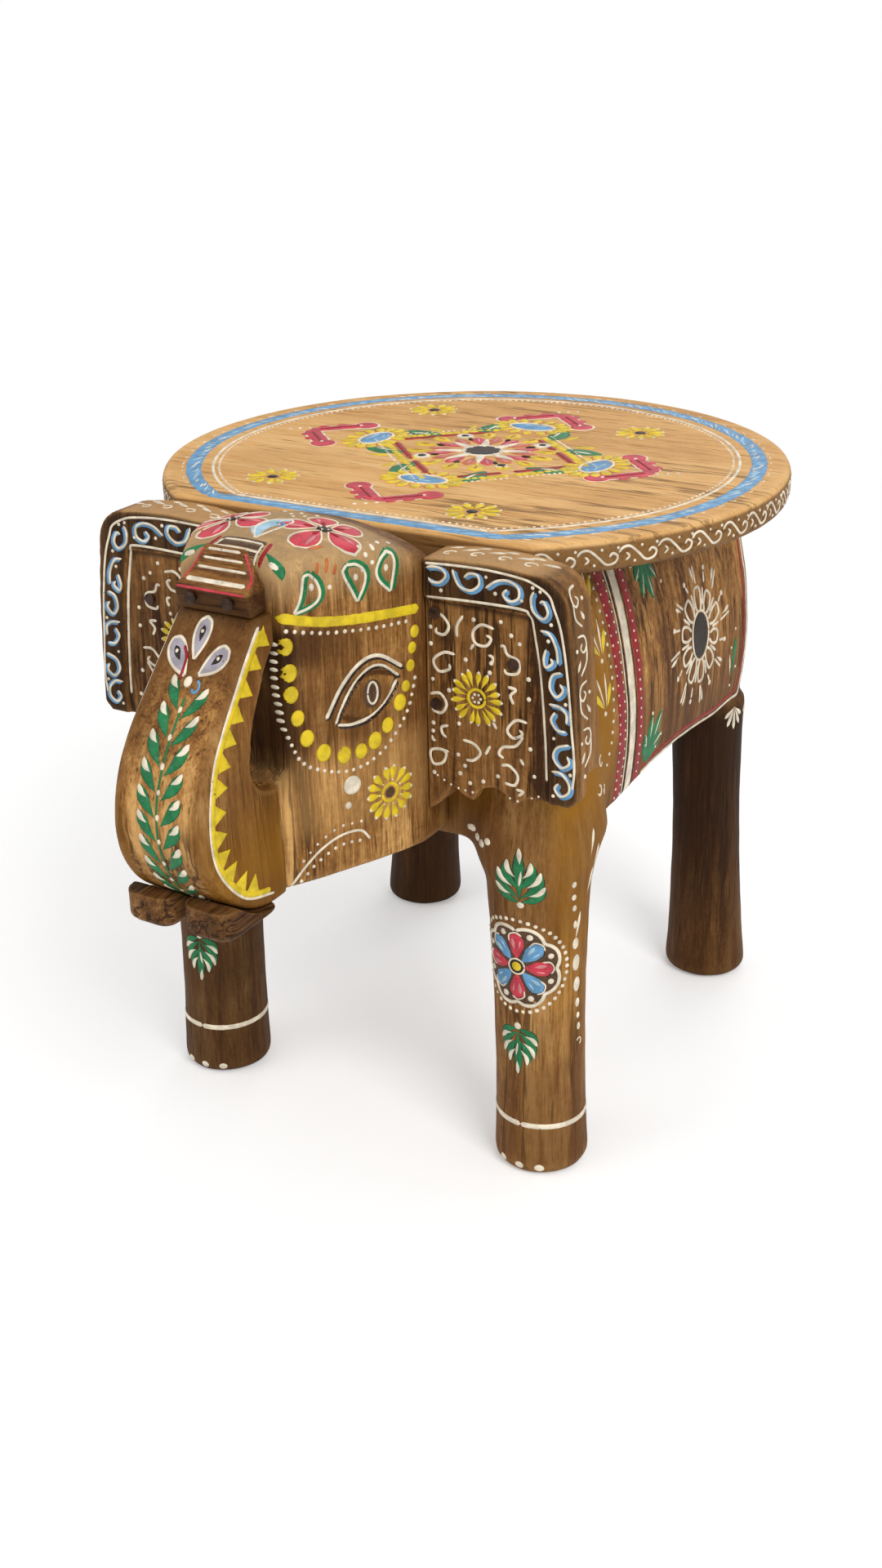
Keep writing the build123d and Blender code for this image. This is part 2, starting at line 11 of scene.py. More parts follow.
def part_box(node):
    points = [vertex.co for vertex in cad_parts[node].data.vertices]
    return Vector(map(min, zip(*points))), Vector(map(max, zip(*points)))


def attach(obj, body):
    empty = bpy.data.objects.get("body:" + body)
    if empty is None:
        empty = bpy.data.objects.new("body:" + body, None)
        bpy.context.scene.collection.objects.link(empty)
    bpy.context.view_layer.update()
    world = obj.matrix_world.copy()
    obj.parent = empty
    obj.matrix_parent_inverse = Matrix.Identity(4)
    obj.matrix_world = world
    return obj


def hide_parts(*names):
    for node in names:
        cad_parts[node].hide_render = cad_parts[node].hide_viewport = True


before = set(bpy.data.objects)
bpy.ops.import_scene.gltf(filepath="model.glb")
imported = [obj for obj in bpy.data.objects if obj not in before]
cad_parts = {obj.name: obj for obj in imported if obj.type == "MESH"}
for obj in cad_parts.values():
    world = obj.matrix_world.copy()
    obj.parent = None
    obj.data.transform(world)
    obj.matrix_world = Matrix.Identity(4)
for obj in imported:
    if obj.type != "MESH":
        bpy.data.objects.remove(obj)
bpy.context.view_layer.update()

random.seed(11)

# ---- Camera
# It stands before the elephant's left shoulder, a little above the seat, and looks down at it.
camera_place = Vector((0.42066, -0.71495, 0.52858))
camera_turn = 0.52158
camera_dip = 0.42401
camera_roll = -0.01569
camera_lens = 42.02

forward = Vector((
    -math.sin(camera_turn) * math.cos(camera_dip),
    math.cos(camera_turn) * math.cos(camera_dip),
    -math.sin(camera_dip),
))
level = Vector((math.cos(camera_turn), math.sin(camera_turn), 0))
upright = level.cross(forward)
right = level * math.cos(camera_roll) + upright * math.sin(camera_roll)
up = upright * math.cos(camera_roll) - level * math.sin(camera_roll)
camera = bpy.data.objects.new("camera", bpy.data.cameras.new("camera"))
camera.data.lens = camera_lens
camera.data.sensor_width = 36
camera.data.sensor_fit = "AUTO"
camera.data.clip_start = 0.01
camera.matrix_world = Matrix.Translation(camera_place) @ Matrix((right, up, -forward)).transposed().to_4x4()
bpy.context.scene.collection.objects.link(camera)
bpy.context.scene.camera = camera
bpy.context.scene.view_settings.view_transform = "Standard"


# ---- Studio
# A plain white floor under an even white sky, with one broad lamp high on the elephant's left and
# front, and weaker ones on its right and behind. The floor shows as white and keeps a soft shadow.
class Value:
    """A socket of a shader node, on which Python's operators add Math nodes."""

    def __init__(self, finish, socket):
        self.finish = finish
        self.socket = socket

    def maths(self, operation, *others):
        return self.finish.add("Math", {"operation": operation}, dict(enumerate((self, *others))))

    def __add__(self, other):
        return self.maths("ADD", other)

    def __sub__(self, other):
        return self.maths("SUBTRACT", other)

    def __rsub__(self, other):
        return self.finish.add("Math", {"operation": "SUBTRACT"}, {0: other, 1: self})

    def __mul__(self, other):
        return self.maths("MULTIPLY", other)

    def __abs__(self):
        return self.maths("ABSOLUTE")

    __radd__ = __add__
    __rmul__ = __mul__

    def between(self, low, high):
        """0 at low, 1 at high and smooth in between; low may be the larger."""
        sockets = {"Value": self, "From Min": low, "From Max": high}
        return self.finish.add("MapRange", {"interpolation_type": "SMOOTHSTEP"}, sockets)

    def part(self, name):
        """Another output of the same node."""
        return Value(self.finish, self.socket.node.outputs[name])


class Finish:
    """A material, or the sky, being mixed."""

    def __init__(self, name, holder=None):
        self.holder = holder or bpy.data.materials.new(name)
        self.holder.use_nodes = True
        self.tree = self.holder.node_tree

    def add(self, kind, settings=None, sockets=None):
        """Adds a node of this kind, with its settings made first, and returns its first output."""
        node = self.tree.nodes.new("ShaderNode" + kind)
        for name, setting in (settings or {}).items():
            if name == "stops":
                ramp = node.color_ramp
                while len(ramp.elements) < len(setting):
                    ramp.elements.new(0.5)
                for stop, (place, colour) in zip(ramp.elements, setting):
                    stop.position = place
                    stop.color = (*colour, 1)
            else:
                setattr(node, name, setting)
        for name, value in (sockets or {}).items():
            self.join(value, node.inputs[name])
        shown = [output for output in node.outputs if output.enabled]
        return Value(self, shown[0] if shown else None)

    def join(self, value, socket):
        """Links a value to a socket, or sets the socket to it."""
        if isinstance(value, Value):
            self.tree.links.new(value.socket, socket)
        elif socket.type == "RGBA" and len(value) == 3:
            socket.default_value = (*value, 1)
        else:
            socket.default_value = value

    def blend(self, share, first, second):
        """A colour from the first to the second, by share."""
        return self.add("Mix", {"data_type": "RGBA"}, {0: share, 6: first, 7: second})

    def noise(self, place, scale, detail=2.0, roughness=0.5):
        """Cloudy values between 0 and 1."""
        sockets = {"Vector": place, "Scale": scale, "Detail": detail, "Roughness": roughness}
        return self.add("TexNoise", None, sockets)

    def coat(self, **values):
        """Sets the surface's own inputs, named with _ for a space."""
        shader = self.tree.nodes["Principled BSDF"]
        for name, value in values.items():
            self.join(value, shader.inputs[name.replace("_", " ")])
        return self.holder


floor_half = 3.0
floor_clear = (0.34, 1.05)
floor_depth = 0.0004
floor_white = (0.93, 0.93, 0.925)
floor_lift = 0.24
sky_strength = 0.58

world = bpy.data.worlds.new("studio")
bpy.context.scene.world = world
sky = Finish("studio", world)
path = sky.add("LightPath")
shows = path.maths("MAXIMUM", path.part("Is Transmission Ray"))
power = sky.add("MapRange", None, {"Value": shows, "To Min": sky_strength, "To Max": 1.0})
background = world.node_tree.nodes["Background"]
background.inputs["Color"].default_value = (1.0, 1.0, 1.0, 1)
sky.join(power, background.inputs["Strength"])

floor_mesh = bpy.data.meshes.new("floor")
signs = ((-1, -1), (1, -1), (1, 1), (-1, 1))
corners = [(x * floor_half, y * floor_half, -floor_depth) for x, y in signs]
floor_mesh.from_pydata(corners, [], [(0, 1, 2, 3)])
floor = bpy.data.objects.new("floor", floor_mesh)
bpy.context.scene.collection.objects.link(floor)
paper = Finish("white paper")
place = paper.add("TexCoord").part("Object")
away = paper.add("VectorMath", {"operation": "LENGTH"}, {0: place}).part("Value")
seen = paper.add("LightPath")
grit = paper.noise(place, 30.0)
paper.coat(Base_Color=floor_white, Roughness=grit * 0.1 + 0.8)
glow = paper.add("Emission", None, {"Color": (1.0, 1.0, 1.0), "Strength": floor_lift})
matt = Value(paper, paper.tree.nodes["Principled BSDF"].outputs[0])
lit = paper.add("AddShader", None, {0: matt, 1: glow})
lifted = paper.add("MixShader", None, {0: seen, 1: matt, 2: lit})
clear = paper.add("BsdfTransparent")
faded = paper.add("MixShader", None, {0: away.between(*floor_clear), 1: lifted, 2: clear})
paper.join(faded, paper.tree.nodes["Material Output"].inputs["Surface"])
floor.data.materials.append(paper.holder)

for name, place, size, watts in (
    ("key lamp", (1.75, -1.15, 1.9), 1.2, 36.0),
    ("fill lamp", (-1.5, -1.7, 1.3), 1.6, 12.0),
    ("back lamp", (-0.3, 2.2, 1.9), 1.6, 12.0),
):
    lamp = bpy.data.objects.new(name, bpy.data.lights.new(name, "AREA"))
    lamp.data.size = size
    lamp.data.energy = watts
    lamp.location = place
    lamp.rotation_euler = (Vector(place) - Vector((0, 0, 0.15))).to_track_quat("Z", "Y").to_euler()
    bpy.context.scene.collection.objects.link(lamp)


# ---- Body and legs
# One thick block with a barrelled side and a shallow arch under the belly, on four turned legs
# that are pegged up into it. All are mango wood, rubbed with brown stain, with a wash of ochre
# behind the ears that runs down the outside of the front legs. Shade is painted onto the tops of
# the legs under the block, onto the rear legs and onto the elephant's right legs.
def mesh_arrays(mesh):
    """The points and the edges of a mesh, as arrays."""
    places = np.empty(len(mesh.vertices) * 3)
    mesh.vertices.foreach_get("co", places)
    edges = np.empty(len(mesh.edges) * 2, np.int64)
    mesh.edges.foreach_get("vertices", edges)
    return places.reshape(-1, 3), edges.reshape(-1, 2)


def softened(places, edges, rounds, share=None):
    """Each point drawn towards the middle of its neighbours, several times over."""
    ends = np.concatenate((edges[:, 0], edges[:, 1]))
    others = np.concatenate((edges[:, 1], edges[:, 0]))
    count = np.bincount(ends, minlength=len(places))[:, None]
    pull = 0.5 if share is None else 0.5 * share[:, None]
    for _ in range(rounds):
        middle = np.stack([np.bincount(ends, places[others, k], len(places)) for k in range(3)], 1) / count
        places = places + pull * (middle - places)
    return places


def hewn(places, depth, size, seed):
    """How far in the carver's blade went at each point: broad shallow hollows, in metres."""
    shift = Vector((seed, seed * 1.7, seed * 0.3))
    waves = np.array([noise.fractal(Vector(p) / size + shift, 1.0, 2.0, 2) for p in places])
    return depth * np.clip(0.5 + 0.5 * waves, 0, 1)


def biggest_island(mesh):
    """Drops the loose shells that a remesh leaves inside closed joints."""
    shape = bmesh.new()
    shape.from_mesh(mesh)
    left = set(shape.verts)
    islands = []
    while left:
        reached = {left.pop()}
        rim = list(reached)
        while rim:
            point = rim.pop()
            for edge in point.link_edges:
                other = edge.other_vert(point)
                if other in left:
                    left.discard(other)
                    reached.add(other)
                    rim.append(other)
        islands.append(reached)
    islands.sort(key=len)
    stray = [point for island in islands[:-1] for point in island]
    bmesh.ops.delete(shape, geom=stray, context="VERTS")
    shape.to_mesh(mesh)
    shape.free()


def new_piece(name, mesh):
    """Puts a mesh into the scene as a piece."""
    piece = bpy.data.objects.new(name, mesh)
    bpy.context.scene.collection.objects.link(piece)
    return piece


def carved(
    name, nodes, grain_size=0.0015, rounds=4, depth=0.0004, hollow_size=0.02, seed=1.0, share=None, cut=None,
):
    """A piece in the shape of some CAD nodes, with its edges worn round and its faces hewn by hand."""
    whole = bmesh.new()
    for node in nodes:
        whole.from_mesh(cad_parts[node].data)
    mesh = bpy.data.meshes.new(name)
    whole.to_mesh(mesh)
    whole.free()
    mesh.materials.clear()
    piece = new_piece(name, mesh)
    remesh = piece.modifiers.new("remesh", "REMESH")
    remesh.mode = "VOXEL"
    remesh.voxel_size = grain_size
    solid = bpy.data.meshes.new_from_object(piece.evaluated_get(bpy.context.evaluated_depsgraph_get()))
    piece.modifiers.clear()
    piece.data = solid
    bpy.data.meshes.remove(mesh)
    solid.name = name
    if len(nodes) > 1:
        biggest_island(solid)
    places, edges = mesh_arrays(solid)
    places = softened(places, edges, rounds, None if share is None else share(places))
    if cut is not None:
        places = cut(places)
    solid.vertices.foreach_set("co", places.ravel())
    solid.update()
    normals = np.empty(len(places) * 3)
    solid.vertices.foreach_get("normal", normals)
    normals = normals.reshape(-1, 3)
    broad = softened(places, edges, 12)
    relief = ((places - broad) * normals).sum(1)
    places = places - normals * hewn(places, depth, hollow_size, seed)[:, None]
    solid.vertices.foreach_set("co", places.ravel())
    # the relief, below zero in hollows and above it on edges, darkens hollows with grime and painted shade
    # and pales worn edges
    worn = solid.attributes.new("relief", "FLOAT", "POINT")
    worn.data.foreach_set("value", relief.astype(np.float32) * 1000)
    solid.shade_smooth()
    solid.update()
    return piece


class Wood(Finish):
    """Oiled and stained wood with its grain along one axis, darker in hollows with grime and painted shade,
    paler on worn edges.
    """

    def __init__(self, name, dark, middle, light, along="z", seed=0.0, stain=0.5, figure=1.0):
        super().__init__(name)
        self.place = self.add("TexCoord").part("Object")
        stretch = [1.0, 1.0, 1.0]
        stretch["xyz".index(along)] = 0.07
        shift = [seed, seed * 2, seed * 3]
        grain = self.add("Mapping", None, {"Vector": self.place, "Location": shift, "Scale": stretch})
        drift = self.noise(grain, 26.0, 3.0)
        rings = (drift * 34.0).maths("SINE")
        lines = self.noise(grain, 240.0, 3.0, 0.6)
        fibres = self.noise(grain, 1300.0, 2.0, 0.6)
        mottle = self.noise(self.place, 420.0, 3.0, 0.65)
        grained = drift * 0.62 + rings * 0.05 + lines * 0.68 + fibres * 0.45 + mottle * 0.25 - 1.0
        tone = grained * figure + 0.5
        body = self.add("ValToRGB", {"stops": ((0.30, dark), (0.5, middle), (0.72, light))}, {"Fac": tone})
        blotches = self.noise(self.place, 13.0 + seed, 4.0, 0.6)
        deep = [c * 0.45 for c in dark]
        stained = self.blend(blotches.between(0.44, 0.66) * stain, body, dark)
        pores = self.noise(grain, 620.0, 1.0)
        pore = pores.between(0.62, 0.72)
        pored = self.blend(pore * 0.6, stained, deep)
        wander = self.noise(grain, 52.0, 4.0, 0.65)
        places = self.noise(self.place, 9.0, 1.0)
        crack = abs(wander - 0.5).between(0.026, 0.008) * places.between(0.47, 0.56)
        cracked = crack * 0.8
        split = self.blend(cracked, pored, deep)
        relief = self.add("Attribute", {"attribute_name": "relief"}).part("Fac")
        # hollows darkened: partly grime, partly painted shade
        grimed_and_shaded = self.blend(relief.between(-0.01, -0.28) * 0.85, split, deep)
        self.colour = self.blend(relief.between(0.05, 0.35) * 0.22, grimed_and_shaded, light)
        self.height = fibres * 0.3 + lines * 0.35 - pore * 0.35 - cracked * 1.6
        self.rough = fibres * 0.2 + pore * 0.15 + 0.46

    def axis(self, name):
        """How far along x, y or z, in metres."""
        return self.add("SeparateXYZ", None, {0: self.place}).part(name)

    def wash(self, share, colour):
        """Thinned colour over the wood, which lets the grain through."""
        self.colour = self.blend(share, self.colour, colour)

    def done(self):
        bump = self.add("Bump", None, {"Strength": 0.5, "Distance": 0.0005, "Height": self.height})
        return self.coat(Base_Color=self.colour, Roughness=self.rough, Normal=bump, Specular_IOR_Level=0.14)


leg_nodes = ("leg_front_left", "leg_front_right", "leg_rear_left", "leg_rear_right")
leg_low, leg_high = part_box("leg_front_left")
body_low, body_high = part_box("body_block")
leg_top = body_low.z
front_leg_middle = ((leg_low.x + leg_high.x) / 2, (leg_low.y + leg_high.y) / 2)

body_dark = (0.090, 0.031, 0.006)
body_middle = (0.365, 0.165, 0.042)
body_light = (0.66, 0.37, 0.125)
leg_brown = (0.125, 0.048, 0.010)
# a near-black brown used for painted shade
shade_brown = (0.017, 0.0048, 0.0006)
ochre = (0.30, 0.125, 0.004)


def more_at_hips(places):
    """Smoothing is strongest where the front legs run up into the block, as they were carved to."""
    aside = np.hypot(np.abs(places[:, 0]) - front_leg_middle[0], places[:, 1] - front_leg_middle[1])
    near = np.exp(-((places[:, 2] - leg_top - 0.012) / 0.032) ** 2) * np.clip(1.6 - aside / 0.032, 0, 1)
    return 0.16 + 0.84 * near


carcass = carved(
    "carcass", ("body_block", *leg_nodes), rounds=60, depth=0.0005, seed=2.0, share=more_at_hips,
)
timber = Wood("body wood", body_dark, body_middle, body_light, stain=0.55)
across, along, height = timber.axis("X"), timber.axis("Y"), timber.axis("Z")
aside = abs(across)
streaky = timber.noise(timber.place, 60.0, 3.0)
# painted shade: the tops of the legs and the block's foot darkened under the overhang of block and ears
timber.wash(height.between(0.215, 0.175) * height.between(0.09, 0.135) * 0.72, leg_brown)
timber.wash(height.between(0.13, 0.08) * 0.34, leg_brown)
timber.wash(height.between(0.04, 0.015) * 0.3, leg_brown)
# painted shade: the rear legs under the block, darkest at their tops
rear_leg_shade = along.between(0.10, 0.13) * height.between(0.175, 0.155)
timber.wash(rear_leg_shade * (height.between(0.02, 0.10) * 0.36 + 0.56), shade_brown)
# painted shade: the elephant's right legs, turned away from the key lamp, darkened below the hips
timber.wash(across.between(-0.03, -0.06) * height.between(0.165, 0.145) * 0.68, shade_brown)
timber.wash(aside.between(0.096, 0.090) * along.between(0.12, 0.165) * 0.3, body_dark)
behind_ear = along.between(-0.004, -0.014) * along.between(-0.075, -0.064) * height.between(0.17, 0.20)
flank = aside.between(0.101, 0.110) * height.between(0.045, 0.12) * along.between(0.0, -0.02)
timber.wash((behind_ear + flank * 0.7) * (streaky * 0.9 + 0.25), ochre)
drawn_out = timber.add("Mapping", None, {"Vector": timber.place, "Scale": (1.0, 1.0, 0.08)})
streak = timber.noise(drawn_out, 85.0, 3.0)
timber.wash(streak.between(0.56, 0.64) * height.between(0.20, 0.16) * 0.55, body_dark)
carcass.data.materials.append(timber.done())
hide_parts("body_block", *leg_nodes)
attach(carcass, "root")


# ---- Paint on the body and legs
# Thick enamel, laid on with a fine brush and squeezed from a cone, so that each stroke stands a
# little proud of the wood and has rounded ends. The same colours are used on every piece.
class Brush:
    """Paint on one piece: each stroke is a low ridge that follows the wood. Sizes in millimetres."""

    profile = ((-1.0, None), (-0.78, 0.72), (0.0, 1.0), (0.78, 0.72), (1.0, None))
    sunk = -0.12
    reach = 3.5

    def __init__(self, name, host, slot):
        self.name = name
        self.slot = slot
        self.coats = {}
        self.canvas = None
        self.tree = BVHTree.FromObject(host, bpy.context.evaluated_depsgraph_get())

    def touch(self, u, v, beside=None):
        """The wood's surface at a place on the canvas: the point, the way out, and how far off it is."""
        start, way = self.canvas(u, v)
        point, normal, _, far = self.tree.ray_cast(start, way)
        if point is None or (beside is not None and abs(far - beside[2]) * 1000 > self.reach):
            return beside
        return point, (-normal if normal.dot(way) > 0 else normal), far

    def stroke(self, colour, path, width, lift=0.0, ridge=None, square=False):
        """One stroke along a path; width is a number or gives one for each share of the length."""
        run = even(path)
        steps = np.hypot(*np.diff(run, axis=0).T)
        along = np.concatenate(([0.0], np.cumsum(steps)))
        whole = along[-1] or 1e-6
        turns = np.gradient(run, axis=0)
        turns /= np.maximum(np.hypot(*turns.T), 1e-9)[:, None]
        points, faces = self.coats.setdefault(colour, ([], []))
        wobble = random.uniform(0.0, 9.0)
        rows = []
        for (u, v), (du, dv), gone in zip(run, turns, along):
            half = 0.5 * (width(gone / whole) if callable(width) else width)
            half *= 1 + 0.1 * noise.noise(Vector((gone * 0.4 + wobble, wobble, 0)))
            end = min(gone, whole - gone)
            if end < half and not square:
                half *= math.sqrt(max(0.0, 1 - (1 - end / half) ** 2))
            half = max(half, 0.05)
            middle = self.touch(u, v)
            if middle is None:
                self.close(rows, faces)
                rows = []
                continue
            thick = min(0.34, 0.42 * half) if ridge is None else ridge
            rows.append(len(points))
            for offset, share in self.profile:
                spot = self.touch(u - dv * offset * half, v + du * offset * half, middle)
                rise = self.sunk if share is None else lift + share * thick
                points.append(spot[0] + middle[1] * rise / 1000)
        self.close(rows, faces)

    def close(self, rows, faces):
        """Skins the rows of a stroke, its underside and its two ends."""
        if len(rows) < 2:
            return
        last = len(self.profile) - 1
        for a, b in zip(rows, rows[1:]):
            faces.extend((a + k, a + k + 1, b + k + 1, b + k) for k in range(last))
            faces.append((a + last, a, b, b + last))
        faces.append(tuple(range(rows[0] + last, rows[0] - 1, -1)))
        faces.append(tuple(range(rows[-1], rows[-1] + last + 1)))

    def dot(self, colour, u, v, radius, lift=0.0, tall=1.0, ridge=None):
        """A round or upright oval drop of paint, or with a ridge given a flat disc."""
        middle = self.touch(u, v)
        if middle is None:
            return
        points, faces = self.coats.setdefault(colour, ([], []))
        radius *= random.uniform(0.92, 1.08)
        thick = min(0.45, 0.5 * radius) if ridge is None else ridge
        sides = 8 if radius < 2 else 14 if radius < 4 else 36
        first = len(points)
        points.append(middle[0] + middle[1] * (lift + thick) / 1000)
        rings = ((0.7, 0.75), (1.0, None))
        if radius >= 4:
            steps = math.ceil(radius / 1.6)
            rings = [(0.96 * (k + 1) / steps, 1.0) for k in range(steps)] + [(1.0, None)]
        for out, share in rings:
            for k in range(sides):
                turn = k * math.tau / sides
                du = radius * out * math.cos(turn)
                dv = radius * out * tall * math.sin(turn)
                spot = self.touch(u + du, v + dv, middle)
                way = spot[1] if radius > 4 else middle[1]
                rise = self.sunk if share is None else lift + share * thick
                points.append(spot[0] + way * rise / 1000)
        faces.extend((first, first + 1 + k, first + 1 + (k + 1) % sides) for k in range(sides))
        for ring in range(len(rings) - 1):
            inner = first + 1 + ring * sides
            outer = inner + sides
            for k in range(sides):
                after = (k + 1) % sides
                faces.append((inner + k, outer + k, outer + after, inner + after))
        outer = first + 1 + (len(rings) - 1) * sides
        faces.append(tuple(range(outer + sides - 1, outer - 1, -1)))

    def dots(self, colour, places, radius, **more):
        """The same drop at several places."""
        for u, v in places:
            self.dot(colour, u, v, radius, **more)

    def row(self, colour, path, spacing, radius, **more):
        """Dots at even spaces along a path."""
        run = even(path, 0.5)
        gone = np.concatenate(([0.0], np.cumsum(np.hypot(*np.diff(run, axis=0).T))))
        count = max(2, round(gone[-1] / spacing) + 1)
        for far in np.linspace(0, gone[-1], count):
            u = np.interp(far, gone, run[:, 0]) + random.uniform(-0.12, 0.12)
            v = np.interp(far, gone, run[:, 1]) + random.uniform(-0.12, 0.12)
            self.dot(colour, u, v, radius, **more)

    def leaf(self, colour, foot, tip, width, belly=0.6, bend=0.0, blunt=False, **more):
        """A petal or leaf: pointed at the foot, widest at the belly's share, with a little bend."""
        du, dv = tip[0] - foot[0], tip[1] - foot[1]
        middle = ((foot[0] + tip[0]) / 2 - dv * bend, (foot[1] + tip[1]) / 2 + du * bend)
        swell = lambda share: width * max(0.04, self.swelling(share, belly, blunt))
        self.stroke(colour, (foot, middle, tip), swell, **more)

    def swelling(self, share, belly, blunt):
        """How wide a petal is at a share of its length: pointed at both ends, or blunt at the tip."""
        if blunt:
            if share < belly:
                return math.sin(0.5 * math.pi * share / belly)
            return math.sqrt(max(0.0, 1 - ((share - belly) / (1 - belly)) ** 2))
        return max(0.0, math.sin(math.pi * min(share, 0.999) ** (math.log(0.5) / math.log(belly)))) ** 0.8

    def around(self, middle, radius, turn):
        """A point at a radius and a turn in degrees from a middle."""
        angle = math.radians(turn)
        return middle[0] + radius * math.cos(angle), middle[1] + radius * math.sin(angle)

    def ring(self, colour, middle, radius, width, tall=1.0, **more):
        """A line right round a middle."""
        turns = [k * math.tau / 24 for k in range(25)]
        path = [(middle[0] + radius * math.cos(t), middle[1] + tall * radius * math.sin(t)) for t in turns]
        self.stroke(colour, path, width, **more)

    def daisy(self, colour, middle, inner, outer, count, width, tip=None, turn=0.0):
        """Narrow petals round a middle, each with a lighter tip if one is given."""
        for k in range(count):
            angle = turn + k * 360 / count + random.uniform(-3, 3)
            far = outer * random.uniform(0.93, 1.05)
            self.leaf(colour, self.around(middle, inner, angle), self.around(middle, far, angle), width, 0.7)
            if tip:
                end = (self.around(middle, far - 1.6, angle), self.around(middle, far, angle))
                self.stroke(tip, end, width * 0.62, lift=0.2)

    def curl(self, colour, middle, radius, start, sweep, width, tail=0.0, **more):
        """A scroll that winds in from its outer end; tail draws that end out straight."""
        path = []
        if tail:
            side = math.copysign(90, sweep)
            edge = self.around(middle, radius, start)
            path.append(self.around(edge, tail, start - side))
        for k in range(13):
            share = k / 12
            path.append(self.around(middle, radius * (1 - 0.62 * share), start + sweep * share))
        self.stroke(colour, path, width, **more)

    def outline(self, foot, tip, width, bend=0.0, belly=0.64):
        """The line round a teardrop, from its foot over the tip and back."""
        du, dv = tip[0] - foot[0], tip[1] - foot[1]
        length = math.hypot(du, dv)
        sides = []
        for hand in (1, -1):
            for k in range(13):
                share = k / 12
                half = 0.5 * width * self.swelling(share, belly, True)
                curve = bend * length * math.sin(math.pi * share)
                out = hand * half + curve
                u = foot[0] + du * share - dv / length * out
                v = foot[1] + dv * share + du / length * out
                sides.append((u, v)) if hand == 1 else sides.insert(13, (u, v))
        return sides

    def drop(self, fill, edge, foot, tip, width, bend=0.0, belly=0.64, line=0.9):
        """A filled teardrop with a raised outline."""
        self.leaf(fill, foot, tip, width * 0.98, belly, bend * 2, True, ridge=0.16)
        self.stroke(edge, self.outline(foot, tip, width, bend, belly), line, lift=0.08)

    def dry(self):
        """Turns what was painted into one object for each colour."""
        for colour, (points, faces) in self.coats.items():
            mesh = bpy.data.meshes.new(self.name + "_" + colour)
            mesh.from_pydata(points, [], faces)
            shape = bmesh.new()
            shape.from_mesh(mesh)
            bmesh.ops.recalc_face_normals(shape, faces=shape.faces)
            shape.to_mesh(mesh)
            shape.free()
            mesh.shade_smooth()
            mesh.materials.append(enamel(colour))
            coat = new_piece(mesh.name, mesh)
            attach(coat, "root")


def even(path, step=1.0):
    """Points at about even steps on a smooth curve through the path's points."""
    given = np.array(path, float)
    if len(given) == 2:
        count = max(3, math.ceil(np.hypot(*(given[1] - given[0])) / step) + 1)
        return given[0] + (given[1] - given[0]) * np.linspace(0, 1, count)[:, None]
    closed = np.hypot(*(given[0] - given[-1])) < 1e-6
    before = given[-2] if closed else 2 * given[0] - given[1]
    after = given[1] if closed else 2 * given[-1] - given[-2]
    hooks = np.vstack((before, given, after))
    run = []
    for k in range(len(given) - 1):
        a, b, c, d = hooks[k:k + 4]
        count = max(2, math.ceil(np.hypot(*(c - b)) / step))
        for t in np.arange(count) / count:
            run.append(0.5 * (
                2 * b + (c - a) * t + (2 * a - 5 * b + 4 * c - d) * t**2 + (3 * b - a - 3 * c + d) * t**3
            ))
    run.append(given[-1])
    return np.array(run)


paints = {
    "cream": (0.91, 0.80, 0.62),
    "blue": (0.14, 0.35, 0.60),
    "sky": (0.42, 0.64, 0.78),
    "yellow": (0.83, 0.60, 0.018),
    "green": (0.012, 0.20, 0.065),
    "pink": (0.66, 0.045, 0.075),
    "rose": (0.74, 0.26, 0.27),
    "red": (0.34, 0.008, 0.012),
    "orange": (0.62, 0.16, 0.035),
    "umber": (0.028, 0.014, 0.008),
    "brown": (0.10, 0.048, 0.020),
    "lavender": (0.42, 0.38, 0.43),
}
enamels = {}


def enamel(colour):
    """Hand-mixed enamel: uneven in tone, drawn out by the brush, chipped to the wood here and there."""
    if colour not in enamels:
        base = paints[colour]
        paint = Finish(colour + " enamel")
        place = paint.add("TexCoord").part("Object")
        cloud = paint.noise(place, 170.0, 2.0)
        drag = paint.noise(place, 900.0, 3.0, 0.6)
        thick = paint.blend(cloud.between(0.35, 0.65), [c * 0.72 for c in base], base)
        pale = [0.75 * c + 0.25 for c in base]
        brushed = paint.blend(drag.between(0.5, 0.75) * 0.22, thick, pale)
        chips = paint.noise(place, 330.0, 4.0, 0.7)
        chipped = chips.between(0.655, 0.69) * 0.75
        worn = paint.blend(chipped, brushed, (0.16, 0.085, 0.035))
        bump = paint.add("Bump", None, {"Strength": 0.3, "Distance": 0.0003, "Height": drag * 0.6 - chipped})
        rough = drag * 0.2 + chipped * 0.25 + 0.36
        paint.coat(Base_Color=worn, Roughness=rough, Normal=bump, Specular_IOR_Level=0.25)
        enamels[colour] = paint.holder
    return enamels[colour]


def side_canvas(side):
    """Seen square from the side: y and z."""
    return lambda y, z: (Vector((side * 0.2, y / 1000, z / 1000)), Vector((-side, 0, 0)))


def end_canvas(y, way):
    """Seen square from the front or the back: x and z."""
    return lambda x, z: (Vector((x / 1000, y / 1000, z / 1000)), Vector((0, way, 0)))


# a leg's radius and height, and how far round it one degree goes, in millimetres
leg_radius = 22.0
leg_height = 165
leg_degree = 0.384


def round_canvas(x, y, lean_x, lean_y, side, about):
    """Round a leg: how far round from the angle named, outwards, and z."""
    def canvas(u, z):
        turn = math.radians(about) + u / leg_radius
        out = Vector((side * math.cos(turn), math.sin(turn), 0))
        foot = Vector((side * (x - lean_x * z / leg_height), y - lean_y * z / leg_height, z)) / 1000
        return foot + out * 0.055, -out
    return canvas


def belly_height(y):
    """The height of the block's lower edge, over which the arch rises."""
    return leg_height + 5 * max(0.0, 1 - ((y - 56) / 62) ** 2)


